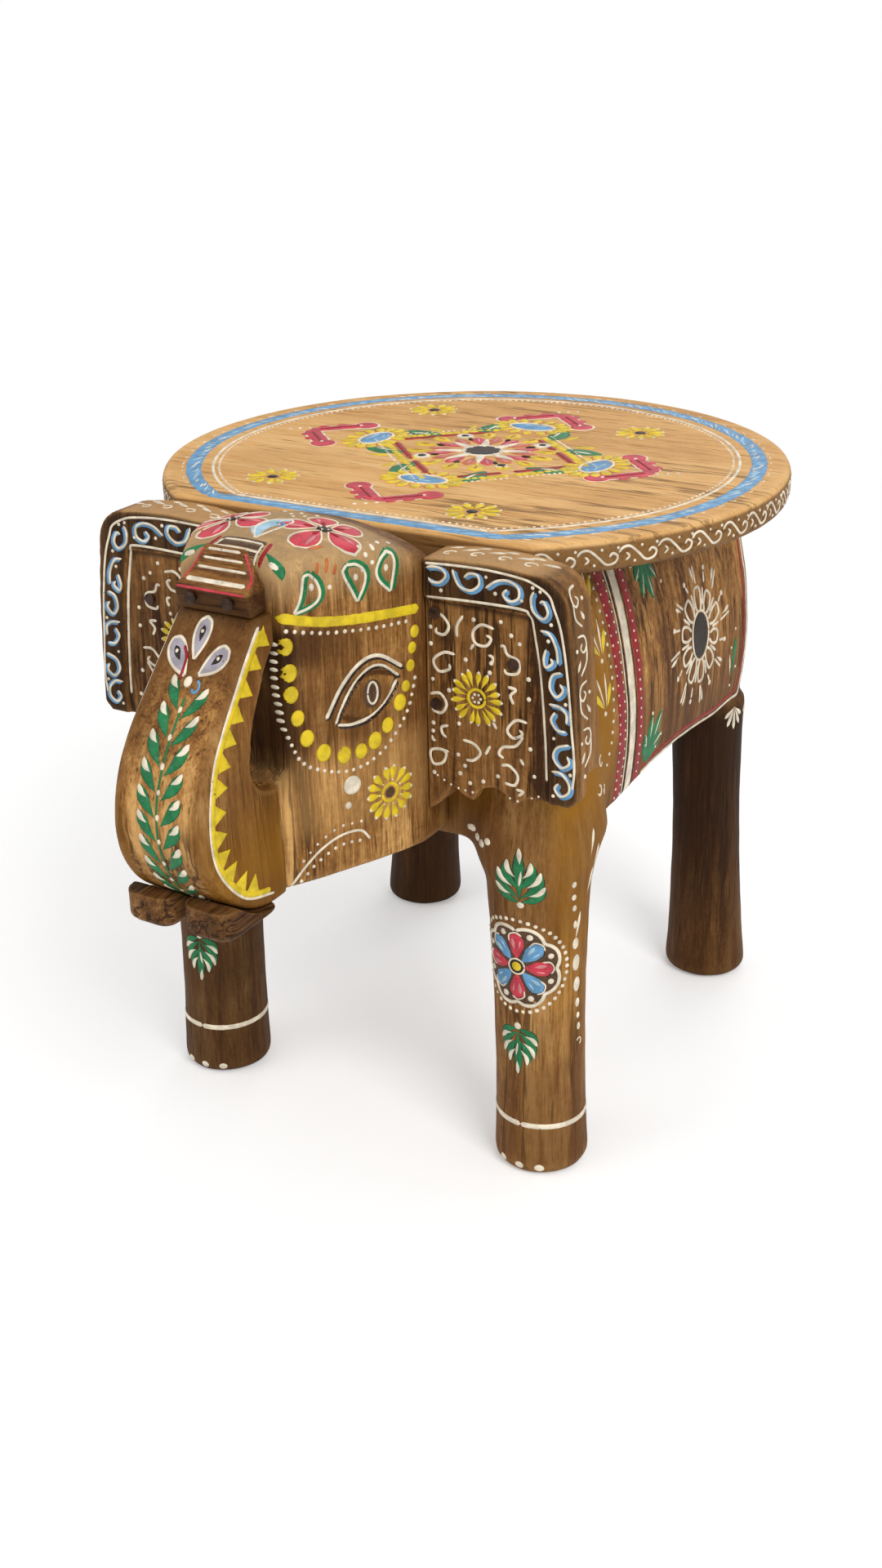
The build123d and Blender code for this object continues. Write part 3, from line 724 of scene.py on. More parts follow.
def palmette(brush, foot, way, size):
    """A green leaf with lobes along its rib, up or down from its foot, touched with cream."""
    for along, length, turn in ((0.04, 0.50, 50), (0.12, 0.60, 33), (0.28, 0.54, 20)):
        for hand in (1, -1):
            start = brush.around(foot, size * along, way)
            angle = way + hand * turn
            tip = brush.around(start, size * length, angle)
            brush.leaf("umber", start, tip, size * 0.22, 0.62, bend=hand * 0.16, ridge=0.06)
            brush.leaf("green", start, tip, size * 0.175, 0.62, bend=hand * 0.16, lift=0.04, ridge=0.2)
            inner = brush.around(start, size * length * 0.40, angle - hand * 5)
            brush.leaf("cream", inner, tip, size * 0.1, 0.62, bend=hand * 0.16, lift=0.16)
    middle, tip = brush.around(foot, size * 0.34, way), brush.around(foot, size, way)
    brush.leaf("umber", brush.around(foot, size * 0.06, way), tip, size * 0.22, 0.62, ridge=0.08)
    brush.leaf("green", brush.around(foot, size * 0.08, way), tip, size * 0.18, 0.62, lift=0.05, ridge=0.24)
    brush.leaf("cream", middle, brush.around(foot, size * 0.62, way - 4), size * 0.05, 0.5, lift=0.22)
    brush.leaf("cream", brush.around(foot, size * 0.72, way - 2), tip, size * 0.09, 0.6, lift=0.2)
    brush.dot("cream", *foot, 1.9, lift=0.1)


def medallion(brush, middle):
    """A scalloped round with eight petals, pink and blue in turn, in a ring of dots."""
    brush.dot("brown", *middle, 19.6, ridge=0.07)
    at = lambda radius, turn: brush.around(middle, radius * 0.93, turn)
    for k in range(8):
        turn = 90 + k * 45
        fill, shine = (("pink", "rose"), ("blue", "sky"))[k % 2]
        brush.leaf("umber", at(3.6, turn), at(19.2, turn), 10.6, 0.72, blunt=True, ridge=0.1)
        brush.leaf(fill, at(3.6, turn), at(18.4, turn), 8.8, 0.72, blunt=True, lift=0.06, ridge=0.26)
        rim = [at(out, turn + lean) for lean, out in ((16, 13.5), (12, 17.2), (0, 18.8), (-10, 17.6))]
        brush.stroke("cream", rim, 0.8, lift=0.16)
        brush.leaf(shine, at(9.0, turn + 6), at(15.5, turn + 7), 2.2, 0.6, lift=0.26)
        brush.leaf(shine, at(10.0, turn - 9), at(15.0, turn - 9), 1.2, 0.6, lift=0.26)
        brush.dot("cream", *at(18.6, turn + 22.5), 1.8, lift=0.08)
    brush.dot("umber", *middle, 4.6, lift=0.2, ridge=0.14)
    brush.ring("cream", middle, 3.9, 1.0, lift=0.28)
    brush.dot("yellow", *middle, 3.1, lift=0.3)
    scallop = [at(20.2 + 2.4 * abs(math.cos(math.radians(30 * k + 90))), 90 + k * 7.5) for k in range(49)]
    brush.stroke("cream", scallop, 1.9, lift=0.12)
    ring = [at(25.8, k * 15) for k in range(25)]
    brush.row("cream", ring[:-1] + [ring[0]], 3.5, 1.15)


brush = Brush("body_paint", carcass, "body_wood")
for side in (1, -1):
    brush.canvas = side_canvas(side)
    top, foot = 294.0, 167.5
    for middle, width in ((-1.2, 8.6), (19.8, 7.4)):
        brush.stroke("red", ((middle, top), (middle, foot)), width, ridge=0.12, square=True)
    brush.stroke("cream", ((10.9, top), (10.9, foot)), 7.0, ridge=0.16, square=True)
    for line, colour, width in ((4.5, "cream", 0.9), (6.2, "umber", 1.3), (15.3, "umber", 1.0)):
        brush.stroke(colour, ((line, top), (line, foot)), width)
    for line, radius in ((-3.6, 0.72), (1.9, 0.72), (19.8, 0.72)):
        brush.row("cream", ((line, top - 2), (line, foot + 3)), 4.7, radius, lift=0.12)

    # leaves in the upper and lower corners beyond the bands
    for turn, length in ((-135, 15), (-108, 20), (-80, 23), (-52, 18)):
        tip = brush.around((42, 275), length, turn)
        brush.leaf("green", (42, 275), tip, 7.0, 0.6)
        brush.leaf("cream", brush.around((43, 274), 4, turn + 6), tip, 1.2, 0.7, lift=0.2)
    for turn, length in ((34, 20), (56, 28), (80, 25), (102, 17)):
        tip = brush.around((30, 175), length, turn)
        brush.leaf("green", (30, 175), tip, 8.0, 0.6)
        brush.leaf("cream", brush.around((31, 177), 4, turn + 8), tip, 1.2, 0.7, lift=0.2)
    brush.dots("cream", ((34, 200), (46, 185), (41, 180), (27, 186), (31, 272), (57, 258)), 1.1)
    brush.leaf("green", (139, 182), (142, 205), 4.6)
    brush.leaf("cream", (137, 184), (134, 197), 1.6)
    brush.dots("cream", ((136, 200), (144, 187), (139, 178), (141, 209)), 0.9)

    # the large loose flower with a dark eye, its looped petals drawn with the cone
    eye = (94.0, 220.0)
    brush.dot("umber", *eye, 9.4, tall=1.2, ridge=0.1)
    brush.ring("cream", eye, 10.4, 1.5, tall=1.2)
    for k in range(10):
        turn = 90 + k * 36
        long = random.uniform(22, 25)
        bulge = ((-7, 12), (-12, 17), (-8, long - 1), (0, long), (8, long - 1), (12, 17), (7, 12))
        loop = [brush.around(eye, out, turn + lean) for lean, out in bulge]
        brush.stroke("cream", loop, 1.7)
        foot, tip = brush.around(eye, 15, turn + 18), brush.around(eye, 24, turn + 18)
        brush.stroke("cream", (foot, tip), 1.6)
    for k in range(16):
        turn = 90 + k * 22.5
        far = random.uniform(34, 39) if k % 2 == 0 else random.uniform(29, 32)
        brush.stroke("cream", (brush.around(eye, 26, turn), brush.around(eye, far, turn + 2)), 1.5)
        if k % 2 == 0:
            brush.leaf("cream", brush.around(eye, 27, turn + 4), brush.around(eye, far, turn + 7), 2.2, 0.7)
        else:
            brush.dot("cream", *brush.around(eye, far + 1.5, turn + 2), 1.6)

    # a red and a cream line along the lower edge and up the rear one
    lower = [(y, belly_height(y) + 6.0) for y in range(26, 150, 8)]
    rear = [(152, 174), (153, 190), (153, 250), (151, 292)]
    brush.stroke("red", lower + rear, 2.0, ridge=0.2)
    lower = [(y, belly_height(y) + 3.0) for y in range(26, 156, 8)]
    rear = [(156.5, 172), (157, 190), (157, 250), (155, 292)]
    brush.stroke("cream", lower + rear, 1.5)

    # slips of yellow and cream behind the ear
    for y, z in ((-16, 272), (-16, 248), (-18, 224)):
        for lean, colour, width, high in (
            (-8, "yellow", 3.4, 15), (-4, "cream", 1.5, 17), (8, "yellow", 3.4, 15), (4, "cream", 1.5, 17),
        ):
            tip = (y + lean * 1.1 - 2, z + high - abs(lean))
            brush.leaf(colour, (y + lean * 0.2, z - 3), tip, width, 0.6)
        brush.dot("cream", y - 0.5, z - 5.5, 1.4)
    for foot, tip in (
        ((-38, 284), (-52, 262)), ((-33, 278), (-46, 258)),
        ((-38, 250), (-52, 230)), ((-33, 244), (-46, 226)),
    ):
        brush.leaf("cream", foot, tip, 2.2, 0.6)
    brush.row("cream", ((-8.5, 288), (-8.5, 250), (-9.5, 222), (-12, 205), (-17, 193)), 5.0, 1.0)
    for k, (y, z) in enumerate(((-25, 198), (-33, 204), (-22, 184), (-32, 188))):
        brush.curl("cream", (y, z), 3.2, 80 + 40 * k, 260, 1.1)

# the back has the same band along its foot and one medallion
brush.canvas = end_canvas(230, -1)
brush.stroke("red", ((-80, 171), (80, 171)), 2.0, ridge=0.2)
brush.stroke("cream", ((-80, 168), (80, 168)), 1.5)
medallion(brush, (0, 228))
palmette(brush, (0, 258), 90, 22)
palmette(brush, (0, 198), -90, 20)
for side in (1, -1):
    palmette(brush, (side * 31, 228), 90 - side * 90, 22)
    brush.row("cream", ((side * 78, 180), (side * 82, 206), (side * 80, 240), (side * 72, 280)), 5.0, 0.9)
    for z in (264, 190):
        brush.daisy("yellow", (side * 60, z), 3.2, 8.5, 11, 1.9, "cream")
        brush.dot("brown", side * 60, z, 2.4)
brush.dry()

brush = Brush("leg_paint", carcass, "leg_wood")
for side in (1, -1):
    brush.canvas = round_canvas(92.8, -52, 3.0, 0, side, -90)
    medallion(brush, (-0.5, 112.5))
    palmette(brush, (2.4, 145), 91, 28)
    palmette(brush, (-1.0, 80.5), -90, 26)
    full = math.tau * leg_radius
    brush.stroke("cream", ((0, 27.5), (full / 3, 27.0), (full * 2 / 3, 28.0), (full, 27.5)), 3.0, ridge=0.28)
    brush.dots("cream", [((turn + 90) * leg_degree, 4.4) for turn in (-118, -92, -66)], 2.5, tall=0.85)
    turn_at = lambda z: (-23 + (153.8 - z) * 0.217 + 90) * leg_degree
    for z, radius, tall in (
        (153.4, 1.4, 1.3), (146.6, 1.4, 1.2), (140.9, 1.5, 1.3), (132.3, 1.2, 1.8), (122.1, 2.3, 1.5),
        (111.8, 2.6, 1.8), (100, 2.5, 1.6), (89.9, 1.8, 1.5), (82.9, 1.5, 1.3), (76.8, 1.5, 1.5),
    ):
        brush.dot("cream", turn_at(z), z, radius, tall=tall)
    brush.leaf("cream", (turn_at(125), 124), (turn_at(136) + 3.5, 138), 1.8)
    brush.curl("cream", (turn_at(68), 68), 2.6, 150, -230, 0.9)
    for u, z in ((40, 171), (43, 162), (46, 154), (38, 153)):
        brush.leaf("cream", (u - 2.5, z - 9), (u + 2.0, z + 3), 2.0, 0.7)
    brush.dots("cream", ((-20.5, 170), (-16.5, 169), (-13, 171.5), (-24, 172.5)), 2.0)
    brush.row("cream", ((full / 2 - 8, 60), (full / 2 - 8, 130)), 7.0, 1.3, tall=1.3)
    brush.canvas = round_canvas(92.8, 157, 5.5, 1.5, side, 0)
    for turn, length in ((-140, 9), (-115, 12), (-90, 13), (-65, 12), (-40, 9)):
        for u in (-8.5, 9, 30, 50):
            foot = (u, 162.5)
            tip = brush.around(foot, length, turn)
            brush.leaf("cream", foot, tip, 2.6, 0.7)
brush.dry()


# ---- Seat board
# A turned and sanded board of paler wood, sawn straight across where the head stands against it.
# It is oiled, with a flower drawn in its middle inside two bands; its rim is stained dark.
seat_low, seat_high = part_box("seat_board")
seat_middle_y = 56.0
seat_radius = (seat_high.x - seat_low.x) / 2
rim_share = 0.9978
seat_dark = (0.44, 0.205, 0.058)
seat_brown = (0.70, 0.385, 0.130)
seat_light = (0.84, 0.53, 0.23)


def sanded(places):
    """The rim taken back by the thickness of its paint."""
    hub = np.array((0.0, seat_middle_y / 1000, 0.0))
    return hub + (places - hub) * np.array((rim_share, rim_share, 1.0))


seat = carved(
    "seat", ("seat_board",), grain_size=0.0014, depth=0.0003, hollow_size=0.05, seed=4.0, cut=sanded,
)
board = Wood("seat wood", seat_dark, seat_brown, seat_light, "x", seed=1.3, stain=0.3, figure=0.62)
rim_brown = (0.13, 0.055, 0.014)
board.wash(board.axis("Z").between(seat_high.z - 0.0012, seat_high.z - 0.0030) * 0.8, rim_brown)
seat.data.materials.append(board.done())
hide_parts("seat_board")
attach(seat, "root")


def seat_canvas(x, v):
    """Seen from above, from the middle of the round: x and how far back."""
    return Vector((x / 1000, (v + seat_middle_y) / 1000, 0.345)), Vector((0, 0, -1))


def rim_canvas(u, z):
    """Round the rim: how far along it, and z."""
    turn = u / (seat_radius * 1000)
    out = Vector((math.cos(turn), math.sin(turn), 0))
    return Vector((0, seat_middle_y / 1000, z / 1000)) + out * 0.19, -out


def band(radius, first, last, chord):
    """The outline of the round with its front cut straight: an arc, and the line that closes it."""
    arc = [brush.around((0, 0), radius, first + (last - first) * k / 48) for k in range(49)]
    return arc, ((-chord[0], chord[1]), (chord[0], chord[1]))


brush = Brush("seat_paint", seat, "seat_wood")
brush.canvas = seat_canvas
for path in band(136.5, -57, 237, (76.5, -114.5)):
    brush.stroke("blue", path, 8.6, ridge=0.13)
for k in range(240):
    turn = -56 + 292 * k / 240 + random.uniform(-0.6, 0.6)
    slant = random.uniform(1.2, 3.0)
    out = random.uniform(-2.2, 1.2)
    colour = random.choice(("sky", "sky", "cream", "sky"))
    foot, tip = brush.around((0, 0), 135.0 + out, turn), brush.around((0, 0), 137.4 + out, turn + slant)
    brush.stroke(colour, (foot, tip), random.uniform(0.6, 1.3), lift=0.1, ridge=0.1)
for k in range(34):
    x = -74 + 148 * k / 34 + random.uniform(-1, 1)
    out = random.uniform(-1.6, 1.6)
    slip = ((x, -115.6 + out), (x + random.uniform(4, 8), -113.4 + out))
    brush.stroke("sky", slip, random.uniform(0.5, 1.0), lift=0.1, ridge=0.1)
for path in band(127.2, -59.1, 239.1, (65.3, -109.2)):
    brush.stroke("cream", path, 1.7)
for path in band(124.3, -60.5, 240.5, (61.5, -106.0)):
    brush.row("cream", path, 3.3, 0.85)
for k in range(70):
    turn = -54 + 288 * k / 70 + random.uniform(-1, 1)
    ends = (brush.around((0, 0), 141.6, turn), brush.around((0, 0), 142.2, turn + random.uniform(0.5, 2.2)))
    brush.stroke("cream", ends, 0.8)

# the flower: a dark eye and a star, then petals, leaves, ovals and corners
heart = (-2.0, 11.0)
at = lambda radius, turn: brush.around(heart, radius, turn)


def part_way(foot, tip, share):
    """The place at a share of the way from a foot to a tip."""
    return [foot[i] * (1 - share) + tip[i] * share for i in (0, 1)]


def beside(middle, turn, out, across):
    """The place so far out from a middle in the way of a turn, and so far across that way."""
    angle = math.radians(turn)
    ahead, aslant = math.cos(angle), math.sin(angle)
    return middle[0] + out * ahead - across * aslant, middle[1] + out * aslant + across * ahead


for k in range(16):
    turn = 11.25 + 22.5 * k
    between = turn + 11.25
    brush.leaf(("orange", "pink")[k % 2], at(13, turn), at(28, turn), 8.0, 0.6, ridge=0.14)
    brush.leaf("yellow", at(25, between), at(38.5, between), 8.2, 0.62, lift=0.05)
    brush.leaf("orange", at(28, between), at(36, between), 1.6, 0.6, lift=0.3)
    brush.leaf("rose", at(17, turn), at(26, turn), 1.8, 0.6, lift=0.24)
for k in range(8):
    turn = 22.5 + 45 * k
    brush.leaf("cream", at(7.5, turn), at(24, turn), 4.6, 0.35, lift=0.2)
    brush.leaf("umber", at(22, turn + 20), at(27, turn + 20), 2.4, 0.5, lift=0.35)
brush.dot("umber", *heart, 9.6, lift=0.2, ridge=0.1)
brush.ring("cream", heart, 9.6, 1.5, lift=0.3)
for foot, tip in (
    ((-50, 8), (-26, -17)), ((-23, -20), (-3, -40)), ((12, 44), (29, 28)), ((32, 25), (49, 8)),
    ((-50, 14), (-29, 36)), ((-26, 39), (-15, 48)), ((10, -38), (26, -22)), ((30, -18), (48, 2)),
):
    brush.stroke("orange", (foot, tip), 5.6, ridge=0.1)
    brush.stroke("red", (foot, tip), 3.0, lift=0.08)
    for off, colour, radius in ((0.13, "yellow", 2.3), (0.24, "cream", 0.9)):
        line = [[end[i] + off * (end[i] - heart[i]) for i in (0, 1)] for end in (foot, tip)]
        brush.row(colour, line, 3.9 if radius > 1 else 2.8, radius)
for turn in (45, 135, 225, 315):
    spot = at(31, turn)
    brush.dot("cream", *spot, 4.2, lift=0.2)
    brush.dot("umber", *spot, 2.7, lift=0.5)
    for lean in (-26, 26):
        brush.leaf("green", at(39, turn + lean * 0.55), at(59, turn + lean), 11.5, 0.5)
        brush.leaf("cream", at(43, turn + lean * 0.72), at(54, turn + lean), 1.6, 0.6, lift=0.25)
        brush.leaf("yellow", at(46, turn + lean * 0.35), at(56, turn + lean * 0.5), 3.6, 0.5)
for middle, turn in (((-63.5, 11.0), 180), ((-3.0, 67.0), 90), ((-2.0, -48.0), 270), ((60.5, 9.0), 0)):
    for k in range(16):
        angle = math.radians(k * 22.5 + 10)
        a, b = math.cos(angle), math.sin(angle)
        foot = beside(middle, turn, 6.4 * a, 11.6 * b)
        tip = beside(middle, turn, 16.0 * a, 22.4 * b)
        brush.leaf("orange", foot, tip, 7.4, 0.62, ridge=0.12)
        brush.leaf("yellow", foot, tip, 5.6, 0.64, lift=0.05)
    turns = [k * math.tau / 20 for k in range(21)]
    oval = [beside(middle, turn, 7.0 * math.cos(t), 12.4 * math.sin(t)) for t in turns]
    brush.stroke("cream", oval, 1.6, lift=0.1)
    ends = (beside(middle, turn, 0, -11.6), beside(middle, turn, 0, 11.6))
    swell = lambda share: 12.8 * max(0.05, math.sin(math.pi * share)) ** 0.5
    brush.stroke("blue", ends, swell, lift=0.16, ridge=0.16)
    shine = (beside(middle, turn, 2.2, -6.96), beside(middle, turn, 2.6, 5.8))
    brush.stroke("sky", shine, 1.3, lift=0.3)
for apex, legs in (
    ((-103, 11), ((-82, 32), (-82, -10))), ((-1, 98.5), ((-22, 77.5), (20, 77.5))),
    ((-4, -89), ((-23, -71), (15, -71))), ((90, 10), ((70, 31), (70, -11))),
):
    for tip in legs:
        brush.stroke("cream", (apex, tip), 11.6, ridge=0.1)
        brush.stroke("pink", (apex, tip), 9.6, lift=0.05, ridge=0.2)
    for tip in legs:
        inner, outer = part_way(apex, tip, 0.15), part_way(apex, tip, 0.9)
        brush.stroke("red", (inner, outer), 1.6, lift=0.2)
        brush.dot("cream", *tip, 7.0, ridge=0.12)
        brush.dot("pink", *tip, 6.1, lift=0.02, ridge=0.25)
        brush.dot("cream", *outer, 1.1, lift=0.3)
        for share in (0.4, 0.72):
            lobe = [apex[i] * (1 - share) + tip[i] * share + apex[i] * 0.055 for i in (0, 1)]
            brush.dot("pink", *lobe, 3.6, ridge=0.22)
    away = [apex[i] * 1.07 for i in (0, 1)]
    brush.dots("cream", (away, [away[0] + 4, away[1] + 3], [away[0] - 4, away[1] - 3]), 1.2)
for middle in ((-67.8, -75.5), (-67.9, 78.5), (52.1, 79.4), (44.8, -85.8)):
    brush.daisy("yellow", middle, 3.4, 13.4, 11, 4.6, "cream")
    brush.dot("umber", *middle, 3.0)
    brush.dots("yellow", [brush.around(middle, 5.4, k * 60) for k in range(6)], 1.4, lift=0.1)

# the running scroll round the rim
brush.canvas = rim_canvas
step, line = 19.4, 299.4
first, last = math.radians(-53) * seat_radius * 1000, math.radians(233) * seat_radius * 1000
for k in range(int((last - first) / step)):
    u = first + (k + 0.5) * step + random.uniform(-0.5, 0.5)
    wave = (
        (u - 9.5, line + 1.0), (u - 7.5, line + 3.2), (u - 4, line + 3.4), (u, line + 0.2),
        (u + 4, line - 3.4), (u + 8, line - 2.8), (u + 9.2, line - 0.2), (u + 6.8, line + 1.3),
        (u + 5.2, line - 0.4),
    )
    brush.stroke("cream", wave, 1.25)
    brush.stroke("cream", ((u - 6, line + 1.0), (u - 4.2, line - 0.8), (u - 6.2, line - 2.6)), 1.1)
    brush.dots("cream", ((u + 1.8, line + 3.2), (u - 1.6, line - 3.2), (u + 9.4, line + 3.4)), 0.8)
brush.dry()


# ---- Head
# A wedge with bowed cheeks and a domed crown, carved with its jaw in one block and dowelled to
# the body. The lids of the eyes are cut in; all else on it is drawn in enamel. Shade is painted
# into the wood under the yellow band and behind the trunk, a painted highlight onto the crown,
# and a painted shadow in dark strokes under the lids of the eyes.
cheek_root = (52, -88)
cheek_run = (0.415, 0.910)
eye_middle = (28.5, 249.0)
eye_half = (15.5, 9.5)
eye_tilt = math.radians(-21)


def cheek_canvas(side):
    """Square to a cheek: how far forward along it from the ear, and z."""
    out = Vector((side * cheek_run[1], -cheek_run[0], 0))

    def canvas(u, z):
        place = Vector((side * (cheek_root[0] - cheek_run[0] * u), cheek_root[1] - cheek_run[1] * u, z))
        return place / 1000 + out * 0.03, -out
    return canvas


def with_eyes(places):
    """Cuts a groove round each eye, swells the ball inside it, and takes the crown down for its paint."""
    x, y = np.abs(places[:, 0]) * 1000 - cheek_root[0], places[:, 1] * 1000 - cheek_root[1]
    u = -cheek_run[0] * x - cheek_run[1] * y
    off = cheek_run[1] * x - cheek_run[0] * y
    across, rise = u - eye_middle[0], places[:, 2] * 1000 - eye_middle[1]
    a = across * math.cos(eye_tilt) + rise * math.sin(eye_tilt)
    b = -across * math.sin(eye_tilt) + rise * math.cos(eye_tilt)
    share = np.clip(a / eye_half[0], -1.2, 1.2)
    slope = np.sqrt(1 + (2 * eye_half[1] / eye_half[0] * share) ** 2)
    edge = (np.abs(b) - eye_half[1] * (1 - share**2)) / slope
    near = (np.abs(off) < 8) & (np.abs(share) < 1.15)
    push = np.where(near, -0.9 * np.exp(-(edge / 0.9) ** 2) + 0.5 * np.clip(-edge / 5, 0, 1), 0.0)
    forwards = np.full(len(places), -cheek_run[0])
    way = np.stack((np.sign(places[:, 0]) * cheek_run[1], forwards, np.zeros(len(places))), 1)
    moved = places + way * push[:, None] / 1000
    moved[:, 2] -= 0.0005 * np.clip((places[:, 2] - 0.300) / 0.02, 0, 1)
    return moved


head_brown = (0.30, 0.135, 0.035)
crown_highlight = (0.62, 0.42, 0.21)
head = carved("head", ("head_block",), grain_size=0.0012, rounds=6, seed=7.0, cut=with_eyes)
skull = Wood("head wood", body_dark, head_brown, body_light, seed=0.7, stain=0.6)
skull_z, skull_y = skull.axis("Z"), skull.axis("Y")
# painted shade on the sides of the forehead under the yellow band, deeper towards its front
band_shade = skull_z.between(0.255, 0.276) * skull_z.between(0.287, 0.282) * skull_y.between(-0.100, -0.128)
skull.wash(band_shade * 0.6, body_dark)
band_shade_front = skull_z.between(0.262, 0.276) * skull_z.between(0.288, 0.281) * skull_y.between(-0.118, -0.14)
skull.wash(band_shade_front * 0.45, shade_brown)
cheek = skull_z.between(0.222, 0.236) * skull_z.between(0.268, 0.255) * skull_y.between(-0.095, -0.118)
skull.wash(cheek * 0.55, leg_brown)
# painted highlight: the top of the crown, which faces the lamps, made paler
skull.wash(skull_z.between(0.290, 0.312) * skull_y.between(-0.080, -0.10) * 0.5, crown_highlight)
skull.wash(skull_z.between(0.235, 0.222) * skull_z.between(0.186, 0.200) * 0.25, body_light)
# painted shade in the notch between the trunk and the cheeks
shade_behind_trunk = skull_y.between(-0.140, -0.150) * skull_z.between(0.205, 0.235) * skull_z.between(0.30, 0.28)
skull.wash(shade_behind_trunk * 0.75, shade_brown)
skull.wash(skull_y.between(-0.094, -0.088) * 0.5, body_dark)
head.data.materials.append(skull.done())
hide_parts("head_block")
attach(head, "root")

beads = (
    (66.7, 278.8), (65.5, 267.4), (65.2, 258.0), (62.8, 247.3), (59.0, 237.6), (51.5, 229.3), (41.7, 225.8),
    (33.1, 225.3), (25.9, 228.2), (19.2, 233.5), (12.4, 242.1), (9.1, 248.6), (6.2, 257.1), (5.1, 264.8),
    (3.5, 271.7),
)
eye_lines = (
    ((49.9, 243.9), (41.1, 257.4), (31.7, 265.0), (22.4, 265.6), (10.5, 257.8)),
    ((45.5, 240.5), (37.7, 253.4), (29.6, 260.8), (21.5, 261.1), (12.4, 254.2)),
    ((44.5, 240.0), (37.0, 238.6), (28.2, 239.6), (19.0, 245.5), (13.6, 252.8)),
)
forehead_drops = (
    ((62.0, 291.8), (54.5, 307.0), 8.8, 0.24), ((32.5, 291.2), (37.0, 307.5), 9.2, 0.16),
    ((15.5, 292.0), (15.8, 308.5), 9.2, -0.14),
)
brush = Brush("head_paint", head, "head_wood")
for side in (1, -1):
    brush.canvas = cheek_canvas(side)
    headband = ((69, 291.4), (52, 286.6), (36.2, 284.2), (18, 282.6), (1.0, 281.3))
    brush.stroke("yellow", headband, 4.8, ridge=0.3)
    brush.row("cream", ((66, 285.4), (50, 281.4), (36, 279.4), (20, 277.8), (8, 277)), 4.0, 1.05)
    for k, (u, z) in enumerate(beads):
        brush.dot("yellow", u, z, 3.7 if k < 11 else 2.7, tall=1.15)
    outer = (
        (69.6, 279.4), (69.9, 267.1), (69.4, 254.9), (67.9, 241.3), (61.2, 227), (46.8, 219.6),
        (34.6, 218.3),
        (25, 221), (17.3, 226.6), (8.1, 238), (4.1, 251),
    )
    brush.row("cream", outer, 3.6, 1.05)
    for line, width in zip(eye_lines, (1.8, 1.3, 1.4)):
        # each dark umber stroke, set just below its cream lid line, is a painted shadow under the lid
        brush.stroke("umber", [(u - 0.6, z - 1.0) for u, z in line], width + 0.8, ridge=0.05)
        brush.stroke("cream", line, width, lift=0.1)
    brush.dot("brown", 27.0, 250.0, 4.9, tall=1.3, ridge=0.12)
    brush.ring("cream", (27.0, 250.3), 2.5, 1.1, tall=1.9, lift=0.2)
    brush.dot("cream", 38.5, 211.3, 4.0)
    brush.dot("cream", 40.6, 202.3, 2.0)
    flower = (18.9, 202.3)
    brush.daisy("yellow", flower, 4.2, 12.8, 14, 3.9, "cream")
    brush.ring("yellow", flower, 4.0, 1.7)
    brush.dot("brown", *flower, 2.9, ridge=0.2)
    brush.dots("cream", [brush.around(flower, 5.8, k * 51) for k in range(7)], 0.5, lift=0.28)
    arc = ((70, 172), (64, 178.5), (55, 185.5), (45, 189.4), (35, 189), (30, 183.5))
    brush.stroke("cream", arc, 1.3)
    brush.row("cream", [(u + 0.5, z - 4.5) for u, z in arc[:-1]], 4.0, 0.95)
    brush.row("cream", [(u - 0.5, z + 4.2) for u, z in arc[1:-1]], 4.6, 0.8)
    for foot, tip, width, bend in forehead_drops:
        line = brush.outline(foot, tip, width, bend)
        brush.stroke("green", [(u - 0.7, z + 0.2) for u, z in line], 3.4, ridge=0.16)
        brush.stroke("cream", [(u + 0.3, z) for u, z in line], 1.4, lift=0.12)
        middle = part_way(foot, tip, 0.64)
        middle[0] -= (tip[1] - foot[1]) * bend * 0.9
        brush.dot("cream", *middle, 1.3, tall=1.4)
    brush.leaf("green", (66.5, 306.5), (66.0, 315), 4.4, 0.5)
    brush.dot("cream", 67.4, 311.4, 1.7, lift=0.12)
    for u, z, reach in ((50, 311, 5), (45.5, 312, 6), (42, 309, 4.5)):
        brush.stroke("orange", ((u, z), (u + 1.5, z - reach)), 1.5)
    brush.dots("cream", ((27, 309.5), (24.5, 306), (29.5, 304), (45.5, 300), (22, 311)), 1.15)

# two flowers and a blue drop on the crown
brush.canvas = lambda x, y: (Vector((x / 1000, y / 1000, 0.36)), Vector((0, 0, -1)))
for side, middle in ((1, (21.0, -111.5)), (-1, (-20.5, -117.0))):
    for turn, reach in ((54, 16.0), (126, 16.0), (198, 19.0), (270, 22.0), (342, 19.0)):
        tip = brush.around(middle, reach, turn)
        brush.drop("pink", "cream", brush.around(middle, 2.8, turn), tip, 12.4, belly=0.64, line=0.9)
        shine = (brush.around(middle, 7, turn + 12), brush.around(middle, reach - 3, turn + 9))
        brush.leaf("rose", *shine, 2.0, 0.6, lift=0.2)
        brush.leaf("red", brush.around(middle, 3, turn), brush.around(middle, 9, turn), 2.0, 0.6, lift=0.2)
    brush.dot("umber", *middle, 3.4, lift=0.12)
    brush.dots("cream", [brush.around(middle, 1.9, k * 90) for k in range(4)], 0.6, lift=0.45)
    brush.dots("cream", ((side * 39.5, -101), (side * 41.0, -95), (side * 38, -113), (side * 8, -97)), 1.1)
    brush.leaf("orange", (side * 30, -125), (side * 26, -132), 2.2)

